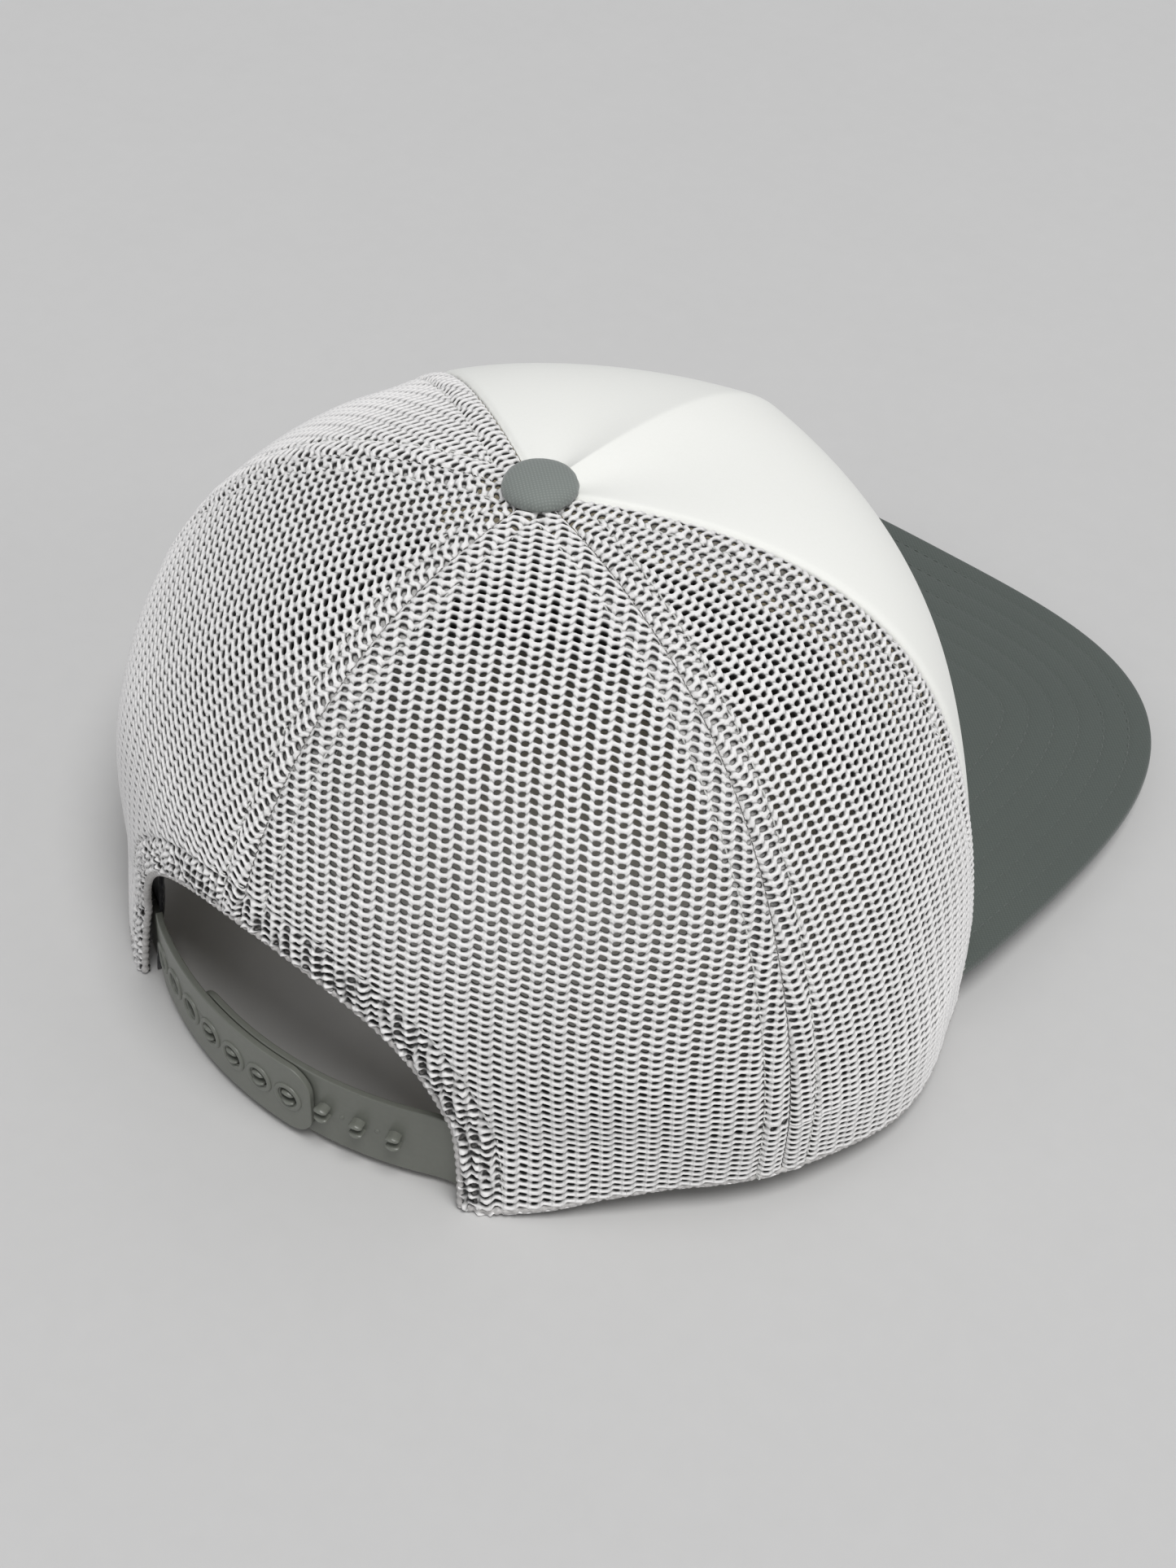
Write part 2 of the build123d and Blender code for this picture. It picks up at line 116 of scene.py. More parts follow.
def grid_faces(rows, columns, wrap=False):
    """Quads of a grid of rows * columns points; wrap joins the last column to the first."""
    span = columns if wrap else columns - 1
    row, column = np.meshgrid(np.arange(rows - 1), np.arange(span), indexing="ij")
    following = (column + 1) % columns
    quads = np.stack([row * columns + column, row * columns + following,
                      (row + 1) * columns + following, (row + 1) * columns + column], -1)
    return quads.reshape(-1, 4)


def circle(sides):
    """Evenly spaced angles of one turn."""
    return np.linspace(0, 2 * pi, sides, endpoint=False)


def run_along(path):
    """Distance from a path's start to each of its points."""
    return np.concatenate([[0], np.cumsum(np.linalg.norm(np.diff(path, axis=0), axis=1))])


def read_off(places, run, table):
    """Rows of a table (n, k) at places along its run."""
    return np.stack([np.interp(places, run, column) for column in table.T], -1)


def resample(path, spacing):
    """Points evenly spaced along a path (n, 3)."""
    run = run_along(path)
    count = max(2, int(run[-1] / spacing) + 1)
    return read_off(np.linspace(0, run[-1], count), run, path)


def turned_out(piece):
    """Turns all faces of a closed piece outwards."""
    work = bmesh.new()
    work.from_mesh(piece.data)
    bmesh.ops.recalc_face_normals(work, faces=work.faces)
    work.to_mesh(piece.data)
    work.free()
    return piece


def tidy_mesh(piece, distance=0.02 * MM):
    """Joins doubled points, drops faces that have closed up and turns all faces the same way."""
    work = bmesh.new()
    work.from_mesh(piece.data)
    bmesh.ops.remove_doubles(work, verts=work.verts, dist=distance)
    bmesh.ops.dissolve_degenerate(work, dist=distance / 2, edges=work.edges)
    loose = [v for v in work.verts if not v.link_faces]
    bmesh.ops.delete(work, geom=loose, context="VERTS")
    bmesh.ops.recalc_face_normals(work, faces=work.faces)
    work.to_mesh(piece.data)
    work.free()
    return piece


def modified(piece, kind, **settings):
    """Adds a modifier of a kind to a piece and applies it."""
    modifier = piece.modifiers.new(kind.lower(), kind)
    for key, value in settings.items():
        setattr(modifier, key, value)
    graph = bpy.context.evaluated_depsgraph_get()
    mesh = bpy.data.meshes.new_from_object(piece.evaluated_get(graph))
    piece.modifiers.clear()
    piece.data = mesh
    return piece


def ramp(value, first, last):
    """Smooth step from 0 at first to 1 at last."""
    part = np.clip((value - first) / (last - first), 0, 1)
    return part * part * (3 - 2 * part)


def hollow(distance, middle, half):
    """Share of a rounded hollow's depth at a distance across it."""
    return np.exp(-(((distance - middle) / half) ** 2))


# Set of the limp lower cloth, and the angles from the back at which each stretch of it fades in and out.
REAR_DROP, SIDE_LIFT, HANG_HEIGHT = 4.5 * MM, 3.2 * MM, 48 * MM
REAR_FLARE, SIDE_DRAW, HEEL_DRAW = 2.5 * MM, 2.8 * MM, 2.8 * MM
REAR_FADE = (34, 52)
SIDE_FADES = ((44, 62), (76, 96))
HEEL_FADES = ((70, 95), (104, 117))


def hang(points):
    """Points of the cap after its lower cloth has dropped and flared at the rear and drawn in at the sides."""
    around = np.degrees(np.arctan2(np.abs(points[:, 0]), points[:, 1]))
    low = np.clip(1 - points[:, 2] / HANG_HEIGHT, 0, 1) ** 1.5 * (points[:, 2] < HANG_HEIGHT)
    rear = 1 - ramp(around, *REAR_FADE)
    side = ramp(around, *SIDE_FADES[0]) * (1 - ramp(around, *SIDE_FADES[1]))
    heel = ramp(around, *HEEL_FADES[0]) * (1 - ramp(around, *HEEL_FADES[1]))
    level = np.hypot(points[:, 0], points[:, 1]) + 1e-9
    outward = (REAR_FLARE * rear - SIDE_DRAW * side - HEEL_DRAW * heel) * low
    moved = points.copy()
    moved[:, :2] *= (1 + outward / level)[:, None]
    moved[:, 2] += (SIDE_LIFT * side - REAR_DROP * rear) * low
    return moved


def finish_piece(piece, material, slot, *nodes, body="crown"):
    """Moves a piece to the crown's axis, hangs its lower cloth when it has a body, gives it its material and
    its body, and hides its CAD nodes. The slot argument is not used.
    """
    points = np.empty(len(piece.data.vertices) * 3)
    piece.data.vertices.foreach_get("co", points)
    points = points.reshape(-1, 3)
    if body:
        points = hang(points)
    piece.data.vertices.foreach_set("co", (points + AXIS).ravel())
    piece.data.update()
    piece.data.materials.clear()
    piece.data.materials.append(material)
    if body:
        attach(piece, body)
    if nodes:
        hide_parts(*nodes)
    return piece


# ======== crown surface
def reach(form, share, depth):
    """Half-extent of the crown in one direction, at a share of its height and a depth below its face."""
    length, round_off, fullness, tuck = form
    blend = np.clip(1 - (share - TUCK_START) / TUCK_SPAN, 0, 1) ** 1.5
    return (length * (1 - tuck * blend) - depth) * np.clip(1 - share**round_off, 1e-9, 1) ** (1 / fullness)


def crown_radius(angle, share, depth=0.0):
    """Distance from the crown's axis to its surface; angles in radians from +X."""
    share = np.clip(share, 0, 1)
    across = reach(SIDE_FORM, share, depth)
    along = np.where(np.sin(angle) > 0, reach(BACK_FORM, share, depth), reach(FRONT_FORM, share, depth))
    x_part = (np.abs(np.cos(angle)) / across) ** RIM_POWER
    y_part = (np.abs(np.sin(angle)) / along) ** RIM_POWER
    return (x_part + y_part) ** (-1 / RIM_POWER)


def crown_base(angle, share):
    """Points of the crown's smooth face."""
    level = crown_radius(angle, share)
    return np.stack([level * np.cos(angle), level * np.sin(angle), share * CROWN_HEIGHT], -1)


def rear_wall(x, z):
    """Points of the crown's smooth rear wall that cover points seen along the Y axis."""
    share = z / CROWN_HEIGHT
    across, along = reach(SIDE_FORM, share, 0.0), reach(BACK_FORM, share, 0.0)
    y = along * np.clip(1 - (np.abs(x) / across) ** RIM_POWER, 0, 1) ** (1 / RIM_POWER)
    return np.stack([x, y, z], -1)


def outside(points):
    """How far points lie outside the crown, measured level; negative inside."""
    level = np.hypot(points[..., 0], points[..., 1])
    angle = np.arctan2(points[..., 1], points[..., 0])
    above = np.maximum(points[..., 2] - CROWN_HEIGHT, 0)
    return level + 5 * above - crown_radius(angle, np.maximum(points[..., 2], 0) / CROWN_HEIGHT)


def crown_normal(points):
    """Outward normal of the crown's smooth face at points on or near it."""
    step = 0.1 * MM
    gradient = np.zeros(points.shape)
    for axis in range(3):
        offset = np.zeros(3)
        offset[axis] = step
        gradient[..., axis] = outside(points + offset) - outside(points - offset)
    return gradient / np.linalg.norm(gradient, axis=-1, keepdims=True)


def between_seams(points):
    """(panel index, share of the way across that panel) for points around the crown."""
    angle = np.degrees(np.arctan2(points[..., 1], points[..., 0])) % 360
    angle = np.where(angle < SEAM_ANGLES[0], angle + 360, angle)
    panel = np.clip(np.searchsorted(SEAM_ANGLES, angle, side="right") - 1, 0, 4)
    first = np.take(SEAM_ANGLES, panel)
    last = np.take(SEAM_ANGLES, panel + 1)
    return panel, (angle - first) / (last - first)


WAVE_HEIGHT, DENT_DEPTH = 0.45 * MM, 1.6 * MM


def cloth_lift(points):
    """Natural unevenness of the cloth, outward: a dip between seams and slow soft waves."""
    panel, across = between_seams(points)
    share = np.clip(points[..., 2] / CROWN_HEIGHT, 0, 1)
    middle = np.sin(pi * across) ** 1.4 * np.sin(pi * np.clip(share * 0.9 + 0.08, 0, 1)) ** 0.8
    x, y, z = points[..., 0], points[..., 1], points[..., 2]
    waves = np.sin(61 * x + 17 * z + 1.3) * np.sin(47 * y - 39 * z) + 0.5 * np.sin(128 * x - 83 * y + 96 * z)
    on_side = (panel == 2) | (panel == 4)
    dent = on_side * hollow(across, 0.22, 0.13) * hollow(share, 0.62, 0.25)
    near_seam = np.sin(pi * np.clip(across, 0, 1)) ** 0.6
    return -np.take(PANEL_SAG, panel) * middle + WAVE_HEIGHT * waves * near_seam - DENT_DEPTH * dent


def crown_points(angle, share, depth=0.0):
    """Points on the crown at a depth below its uneven cloth face."""
    angle, share = np.broadcast_arrays(np.asarray(angle, float), np.asarray(share, float))
    base = crown_base(angle, share)
    depth = np.broadcast_to(np.asarray(depth, float), share.shape)
    return base + crown_normal(base) * (cloth_lift(base) - depth)[..., None]


def angle_beside(seam, offset, share):
    """Angle of the point that lies an offset from a seam's plane, at a share of the height."""
    angle = np.full(np.shape(share), radians(seam))
    for _ in range(8):
        angle = radians(seam) + np.arcsin(np.clip(offset / crown_radius(angle, share), -1, 1))
    return angle


def share_for_radius(seam, level):
    """Share of the height at which the crown has closed in to a level distance from its axis."""
    low, high = 0.5, 1.0
    for _ in range(40):
        middle = (low + high) / 2
        if crown_radius(radians(seam), middle) > level:
            low = middle
        else:
            high = middle
    return low


def rising_shares(first, last, count):
    """Shares of the height spaced evenly along the crown's curved wall rather than up its height."""
    turn = np.linspace(np.arcsin(first), np.arcsin(min(1, last)), count)
    return np.sin(turn)


def visor_height(x, y):
    """Middle height of the visor over a plan point."""
    return VISOR_ROOT_HEIGHT + VISOR_SLOPE * (FRONT_REACH + y) - VISOR_SIDE_DROP * (x / VISOR_HALF_WIDTH) ** 2


def above_visor(points):
    """Lifts points that would hang below the visor's top face on to it."""
    lifted = points.copy()
    floor_height = visor_height(points[..., 0], points[..., 1]) + VISOR_HALF - 0.3 * MM
    over = points[..., 1] < -VISOR_HEEL
    lifted[..., 2] = np.where(over, np.maximum(points[..., 2], floor_height), points[..., 2])
    return lifted


def arch_share(points):
    """Below 1 inside the rear arch, 1 on its edge, seen along the Y axis."""
    across = np.abs(points[..., 0]) / ARCH_HALF_WIDTH
    up = np.clip(points[..., 2], 0, None) / ARCH_HEIGHT
    return across**2 + up ** (2 / ARCH_SQUARENESS)


def onto_arch(points):
    """Moves points inside the rear arch out to its edge, staying on the crown."""
    factor = np.ones(points.shape[:-1])
    for _ in range(12):
        moved = points * np.stack([factor, np.ones_like(factor), factor], -1)
        factor = factor / np.clip(arch_share(moved), 1e-6, None) ** 0.45
    x = points[..., 0] * factor
    z = np.clip(points[..., 2], 0.2 * MM, None) * factor
    return rear_wall(x, z)


# ======== knitted mesh
KNIT_PAIR = 4.9 * MM      # two hole columns, one wide and one narrow
KNIT_ROW = 1.95 * MM
ZIGZAG = 0.6              # rise of a crossbar, as a share of a row
ZIGZAG_SHIFT, RISE_PART = 0.12, 0.26
CELL_RIM = ((1, 0), (1, 1), (0.5, 1), (0, 1), (-0.5, 1), (-1, 1),
            (-1, 0), (-1, -1), (-0.5, -1), (0, -1), (0.5, -1), (1, -1))
WIDE_HOLE = (0.86 * MM, 0.60 * MM, 0.0)
NARROW_HOLE = (0.76 * MM, 0.50 * MM, 0.38)
BAR_CREST, BAR_SHOULDER, WALE_CREST, HOLE_DEPTH = 0.50 * MM, 0.34 * MM, 0.0 * MM, -0.55 * MM
STITCH_LINE = 5.6 * MM
SEAM_GROOVE = 1.3 * MM


def zigzag(phase):
    """Height of a crossbar along one hole pair: a steep rise about phase 0, then a gentle fall."""
    phase = (phase + ZIGZAG_SHIFT) % 1.0
    rise = np.clip(phase / RISE_PART, 0, 1)
    fall = np.clip((phase - RISE_PART) / (1 - RISE_PART), 0, 1)
    smooth = rise * rise * (3 - 2 * rise)
    return smooth - fall - 0.5


def knit_cells(half_width, length, seed):
    """All knit cells of a flat piece: (u, v, height) points and quads, before they are laid on the crown."""
    random = np.random.default_rng(seed)
    pairs = int(ceil(half_width / KNIT_PAIR)) + 1
    rows = int(ceil(length / KNIT_ROW)) + 1
    rim = np.array(CELL_RIM, float)
    turn = np.arctan2(rim[:, 1], rim[:, 0])
    on_bar = np.abs(rim[:, 1])
    half = np.array([KNIT_PAIR / 4, KNIT_ROW / 2])
    columns, lines, kinds = np.meshgrid(np.arange(-pairs, pairs), np.arange(rows), (0, 1), indexing="ij")
    columns, lines, kinds = columns.ravel(), lines.ravel(), kinds.ravel()
    centre = np.stack([(columns + 0.25 + 0.5 * kinds) * KNIT_PAIR, (lines + 0.5) * KNIT_ROW], -1)
    count = len(centre)
    shape = np.where(kinds[:, None] == 0, np.array(WIDE_HOLE), np.array(NARROW_HOLE))
    size = shape[:, :2] * random.uniform(0.9, 1.08, (count, 2))
    tilt = shape[:, 2] + random.uniform(-0.09, 0.09, count)
    shift = random.normal(0, 0.035 * MM, (count, 2))
    hole = np.stack([size[:, :1] * np.cos(turn), size[:, 1:] * np.sin(turn)], -1)
    hole = np.stack([hole[..., 0], hole[..., 1] + hole[..., 0] * np.tan(tilt)[:, None]], -1) + shift[:, None]
    edge = np.broadcast_to(rim * half, (count, len(rim), 2))
    rings = np.stack([edge, edge * 0.45 + hole * 0.55, hole, hole * 0.93], 1)
    bar = WALE_CREST + (BAR_CREST - WALE_CREST) * on_bar**2
    shoulder = WALE_CREST + (BAR_SHOULDER - WALE_CREST) * on_bar**2
    height = np.stack([bar, shoulder, 0 * bar - 0.08 * MM, 0 * bar + HOLE_DEPTH])
    flat = rings + centre[:, None, None]
    phase = flat[..., 0] / KNIT_PAIR
    flat[..., 1] += ZIGZAG * KNIT_ROW * zigzag(phase)
    points = np.concatenate([flat, np.broadcast_to(height, flat.shape[:-1])[..., None]], -1).reshape(-1, 3)
    ring = len(rim)
    base = np.arange(count)[:, None, None] * 4 * ring + np.arange(3)[None, :, None] * ring
    side = np.arange(ring)
    after = (side + 1) % ring
    quads = np.stack([base + side, base + after, base + ring + after, base + ring + side], -1).reshape(-1, 4)
    key = np.round(points[:, :2] / (0.01 * MM)).astype(np.int64)
    _, first, inverse = np.unique(key, axis=0, return_index=True, return_inverse=True)
    return points[first], inverse.ravel()[quads]


def panel_chart(first_seam, last_seam, step=2.0 * MM):
    """Lays a flat piece on the crown: tables of position and normal against distance across and up.

    The piece's grain follows the panel's middle line. Each row of it lies in the plane that holds the crown's
    normal there and runs straight across the panel.
    """
    middle = radians((first_seam + last_seam) / 2)
    shares = rising_shares(0.0, 0.99999, 400)
    profile = crown_base(middle, shares)
    run = run_along(profile)
    ups = np.arange(0, run[-1] + step, step)
    spine = read_off(ups, run, profile)
    normal = crown_normal(spine)
    sideways = np.array([-sin(middle), cos(middle), 0.0])
    chords = np.arange(-0.085, 0.0851, 0.001)
    start = spine[:, None] + chords[None, :, None] * sideways
    low = np.full(start.shape[:2], -2 * MM)
    high = np.full(start.shape[:2], 0.16)
    for _ in range(36):
        guess = (low + high) / 2
        out = outside(start - guess[..., None] * normal[:, None]) > 0
        low = np.where(out, guess, low)
        high = np.where(out, high, guess)
    surface = start - low[..., None] * normal[:, None]
    across = np.zeros(surface.shape[:2])
    pieces = np.linalg.norm(np.diff(surface, axis=1), axis=2)
    across[:, 1:] = np.cumsum(pieces, axis=1)
    across -= across[:, [len(chords) // 2]]
    wides = np.arange(-0.084, 0.0841, step)
    table = np.stack([read_off(wides, run_row, row) for run_row, row in zip(across, surface)])
    return {"ups": ups, "wides": wides, "table": table, "step": step, "run": run[-1]}


def lay(chart, wide, up):
    """Crown points for flat distances across and up a panel, by smooth interpolation of its chart."""
    step = chart["step"]
    i = np.clip(up / step, 0, len(chart["ups"]) - 1.001)
    j = np.clip((wide - chart["wides"][0]) / step, 0, len(chart["wides"]) - 1.001)
    i0, j0 = i.astype(int), j.astype(int)
    fi, fj = (i - i0)[:, None], (j - j0)[:, None]
    table = chart["table"]
    near = table[i0, j0] * (1 - fj) + table[i0, j0 + 1] * fj
    far = table[i0 + 1, j0] * (1 - fj) + table[i0 + 1, j0 + 1] * fj
    return near * (1 - fi) + far * fi


def seam_limits(chart, seam, side):
    """Distance across, for each row of a chart, at which it meets a seam (side +1 for its last seam)."""
    plane = np.array([-sin(radians(seam)), cos(radians(seam)), 0.0])
    distance = chart["table"] @ plane
    return np.array([np.interp(-side * 0.12 * MM, row, chart["wides"]) for row in distance])


# Heights by which the cloth is drawn in or stands up at its seams, stitches, hem and rim.
SEAM_PULL, STITCH_PULL, STITCH_HOLLOW = 0.85 * MM, 0.65 * MM, 0.6 * MM
FOLD_RISE, FOLD_MIDDLE, FOLD_HALF = 0.25 * MM, 3.2 * MM, 1.6 * MM
HEM_RISE, HEM_STITCH_PULL, HEM_EDGE_PULL, HEM_EDGE = 0.45 * MM, 0.5 * MM, 0.9 * MM, 1.2 * MM
CRUMPLE_FOLD, CRUMPLE_KNIT = 0.5 * MM, 0.4 * MM
RIM_PULL, RIM_BAND = 0.5 * MM, 1.0 * MM


def seam_pull(gap):
    """Height of the cloth at a gap from a seam: groove, raised fold, then the hollow under the stitches."""
    groove = SEAM_PULL * np.clip(1 - gap / SEAM_GROOVE, 0, 1) ** 2
    groove += STITCH_PULL * hollow(gap, STITCH_LINE, STITCH_HOLLOW)
    return FOLD_RISE * hollow(gap, FOLD_MIDDLE, FOLD_HALF) - groove


def hem_pull(place):
    """(height of the cloth, added height of its knit) over the crumpled hem round the rear arch."""
    edge = (arch_share(place) - 1) * 0.5 * ARCH_HALF_WIDTH
    pulled = HEM_RISE * np.clip(1 - edge / HEM_WIDTH, 0, 1) ** 0.5
    pulled -= HEM_STITCH_PULL * hollow(edge, HEM_WIDTH, STITCH_HOLLOW)
    pulled -= HEM_EDGE_PULL * np.clip(1 - edge / HEM_EDGE, 0, 1) ** 2
    x, z = place[:, 0], place[:, 2]
    crumple = np.sin(x * 1700 + z * 1500) * np.sin(z * 2100 - x * 900)
    in_hem = np.clip(1.15 - edge / HEM_WIDTH, 0, 1) ** 0.5
    return pulled + CRUMPLE_FOLD * crumple * in_hem, CRUMPLE_KNIT * (crumple - 0.5) * in_hem


def knitted_panel(name, first_seam, last_seam, seed, node, open_back):
    """One mesh panel, knitted flat, laid on the crown, cut at its seams and pulled in along its stitching."""
    chart = panel_chart(first_seam, last_seam)
    low_limit = seam_limits(chart, first_seam, -1)
    high_limit = seam_limits(chart, last_seam, 1)
    half_width = max(-low_limit[0], high_limit[0]) + 3 * MM
    points, quads = knit_cells(half_width, chart["run"], seed)
    wide, up, height = points[:, 0].copy(), points[:, 1].copy(), points[:, 2].copy()
    wide += 0.35 * MM * np.sin(up * 95 + seed) + 0.2 * MM * np.sin(up * 31 + wide * 120)
    up += 0.30 * MM * np.sin(wide * 110 + 2 * seed)
    first = np.interp(up, chart["ups"], low_limit)
    last = np.interp(up, chart["ups"], high_limit)
    dropped = (wide < first) | (wide > last) | (first > last) | (up < 0)
    wide = np.clip(wide, np.minimum(first, last), np.maximum(first, last))
    up = np.clip(up, 0, chart["run"] - 0.2 * MM)
    place = lay(chart, wide, up)
    if open_back:
        inside = arch_share(place) < 1
        dropped |= inside
        place[inside] = onto_arch(place[inside])
    lifted = above_visor(place)
    dropped |= lifted[:, 2] > place[:, 2] + 0.01 * MM
    place = lifted
    normal = crown_normal(place)
    pulled = seam_pull(np.minimum(wide - first, last - wide))
    if open_back:
        folded, crumpled = hem_pull(place)
        pulled += folded
        height = height + crumpled
    pulled -= RIM_PULL * np.clip(1 - place[:, 2] / RIM_BAND, 0, 1) ** 2
    place = place + normal * (cloth_lift(place) + height + pulled)[:, None]
    kept = ~dropped[quads].all(axis=1)
    quads = quads[kept]
    used, renumbered = np.unique(quads, return_inverse=True)
    piece = make_object(name, place[used], renumbered.reshape(-1, 4))
    # The rise attribute holds each point's knit height; the material reads it to paint shade into the recesses.
    rise = piece.data.attributes.new("rise", "FLOAT", "POINT")
    rise.data.foreach_set("value", np.clip((height[used] - HOLE_DEPTH) / (BAR_CREST - HOLE_DEPTH), 0, 1))
    tidy_mesh(piece, 0.01 * MM)
    finish_piece(piece, MESH_CLOTH, "mesh", node)
    return piece


# ======== materials
def add_node(tree, kind, feeds=(), values=(), **settings):
    """Adds a shader node, with (input, socket) feeds, (input, value) values and settings."""
    node = tree.nodes.new("ShaderNode" + kind)
    for key, value in settings.items():
        setattr(node, key, value)
    for key, value in values:
        node.inputs[key].default_value = value
    for key, socket in feeds:
        tree.links.new(socket, node.inputs[key])
    return node


TWILL_TURN, TWILL_RIBS = (0.3, 0.2, radians(38)), (("X", 1.0), ("Y", 0.8))


def fine_structure(tree, place, pitch, kind):
    """Socket with a material's fine pattern at a pitch: round pores, crossed twill ribs or an even grain."""
    if kind == "pores":
        cells = add_node(tree, "TexVoronoi", [("Vector", place)], [("Scale", 1 / pitch)])
        return cells.outputs["Distance"]
    if kind == "grain":
        noise = add_node(tree, "TexNoise", [("Vector", place)], [("Scale", 1 / pitch), ("Detail", 3)])
        return noise.outputs["Fac"]
    turned = add_node(tree, "Mapping", [("Vector", place)], [("Rotation", TWILL_TURN)])
    ribs = []
    for direction, scale in TWILL_RIBS:
        values = [("Scale", scale * pi / (10 * pitch)), ("Distortion", 0.6), ("Detail", 1)]
        feeds = [("Vector", turned.outputs["Vector"])]
        ribs.append(add_node(tree, "TexWave", feeds, values, bands_direction=direction).outputs["Fac"])
    return add_node(tree, "Math", enumerate(ribs), operation="MULTIPLY").outputs["Value"]


SLOW_SCALE, ROUGHNESS_SPREAD = 38, 0.08
DARK_END, LIGHT_END = 0.25, 0.75


def textured(name, light, dark, roughness, pitch, relief, kind="grain", sheen=0.0, blotch=0.35, specular=0.3):
    """Procedural cloth, foam or plastic: fine structure at a pitch, slow colour variation and relief."""
    material = bpy.data.materials.new(name)
    material.use_nodes = True
    tree = material.node_tree
    principled = tree.nodes["Principled BSDF"]
    place = add_node(tree, "TexCoord").outputs["Object"]
    clouds = add_node(tree, "TexNoise", [("Vector", place)], [("Scale", SLOW_SCALE), ("Detail", 4)])
    slow = clouds.outputs["Fac"]
    fine = fine_structure(tree, place, pitch, kind)
    mixed = add_node(tree, "Mix", [(2, fine), (3, slow)], [(0, blotch)], data_type="FLOAT")
    colours = add_node(tree, "ValToRGB", [("Fac", mixed.outputs[0])])
    for end, position, colour in zip(colours.color_ramp.elements, (DARK_END, LIGHT_END), (dark, light)):
        end.position = position
        end.color = (*colour, 1)
    limits = [("To Min", roughness - ROUGHNESS_SPREAD), ("To Max", roughness + ROUGHNESS_SPREAD)]
    spread = add_node(tree, "MapRange", [("Value", slow)], limits)
    bump = add_node(tree, "Bump", [("Height", fine)], [("Strength", 0.6), ("Distance", relief)])
    tree.links.new(colours.outputs["Color"], principled.inputs["Base Color"])
    tree.links.new(spread.outputs["Result"], principled.inputs["Roughness"])
    tree.links.new(bump.outputs["Normal"], principled.inputs["Normal"])
    principled.inputs["Sheen Weight"].default_value = sheen
    principled.inputs["Specular IOR Level"].default_value = specular
    return material


def paint_recess_shade(material, attribute, deep, crest_start, crest_end):
    """Paints shade into a material: darkens it where its mesh attribute is low, as painted shade between the
    raised threads of a knit and in its holes.
    """
    tree = material.node_tree
    base = tree.nodes["Principled BSDF"].inputs["Base Color"]
    height = add_node(tree, "Attribute", attribute_name=attribute).outputs["Fac"]
    limits = [("From Min", crest_start), ("From Max", crest_end), ("To Min", deep)]
    spread = add_node(tree, "MapRange", [("Value", height)], limits, interpolation_type="SMOOTHSTEP")
    feeds = [(6, base.links[0].from_socket), (7, spread.outputs["Result"])]
    mixed = add_node(tree, "Mix", feeds, [(0, 1.0)], data_type="RGBA", blend_type="MULTIPLY")
    tree.links.new(mixed.outputs[2], base)
    return material


KNIT_CLOTH = textured("knit_cloth", (0.94, 0.925, 0.91), (0.78, 0.765, 0.75), 0.5, 0.35 * MM, 0.05 * MM,
                      sheen=0.2)
# Painted shade: the knit's colour falls to 0.04 of itself in its holes and low parts, standing in for the shade
# there.
MESH_CLOTH = paint_recess_shade(KNIT_CLOTH, "rise", 0.04, 0.32, 0.8)
HEM_CLOTH = textured("hem_cloth", (0.72, 0.70, 0.68), (0.30, 0.29, 0.28), 0.6, 0.9 * MM, 0.25 * MM, sheen=0.2)
FRONT_CLOTH = textured("front_cloth", (0.93, 0.93, 0.885), (0.90, 0.90, 0.85), 0.75, 0.5 * MM, 0.02 * MM,
                       sheen=0.2)
FOAM = textured("front_foam", (0.80, 0.73, 0.58), (0.60, 0.53, 0.39), 0.9, 0.9 * MM, 0.15 * MM, kind="pores")
TAPE_CLOTH = textured("tape_cloth", (0.66, 0.65, 0.63), (0.50, 0.49, 0.475), 0.8, 0.5 * MM, 0.06 * MM,
                      kind="twill")
VISOR_CLOTH = textured("visor_cloth", (0.098, 0.115, 0.103), (0.075, 0.088, 0.079), 0.78, 0.55 * MM, 0.05 * MM,
                       kind="twill", sheen=0.25)
BUTTON_CLOTH = textured("button_cloth", (0.26, 0.285, 0.265), (0.20, 0.22, 0.205), 0.75, 0.55 * MM, 0.06 * MM,
                        sheen=0.3, kind="twill")
BAND_CLOTH = textured("sweatband_cloth", (0.035, 0.035, 0.038), (0.018, 0.018, 0.02), 0.85, 0.6 * MM, 0.08 * MM,
                      sheen=0.3, kind="twill")
STRAP_PLASTIC = textured("strap_plastic", (0.19, 0.197, 0.17), (0.15, 0.156, 0.134), 0.36, 1.2 * MM, 0.012 * MM,
                         specular=0.5, blotch=0.7)
BOARD = textured("board_plastic", (0.78, 0.77, 0.72), (0.66, 0.65, 0.6), 0.6, 2 * MM, 0.02 * MM)
METAL = textured("button_metal", (0.62, 0.62, 0.6), (0.45, 0.45, 0.44), 0.35, 0.4 * MM, 0.01 * MM, specular=0.5)
METAL.node_tree.nodes["Principled BSDF"].inputs["Metallic"].default_value = 1.0
# Painted light: a faint emission makes the foam glow, standing in for light shining through the front cloth and
# foam.
FOAM_SHADER = FOAM.node_tree.nodes["Principled BSDF"]
FOAM_SHADER.inputs["Emission Color"].default_value = (0.80, 0.72, 0.55, 1)
FOAM_SHADER.inputs["Emission Strength"].default_value = 0.14
VISOR_THREAD = textured("visor_thread", (0.105, 0.122, 0.11), (0.085, 0.097, 0.088), 0.6, 0.2 * MM, 0.03 * MM,
                        sheen=0.3)
MESH_THREAD = textured("mesh_thread", (0.70, 0.70, 0.67), (0.52, 0.52, 0.5), 0.6, 0.2 * MM, 0.03 * MM,
                       sheen=0.3)

for node, finish in (("visor_board", BOARD), ("button_cup", METAL), ("button_rivet", METAL)):
    frame["nodes"][node].data.materials.clear()
    frame["nodes"][node].data.materials.append(finish)


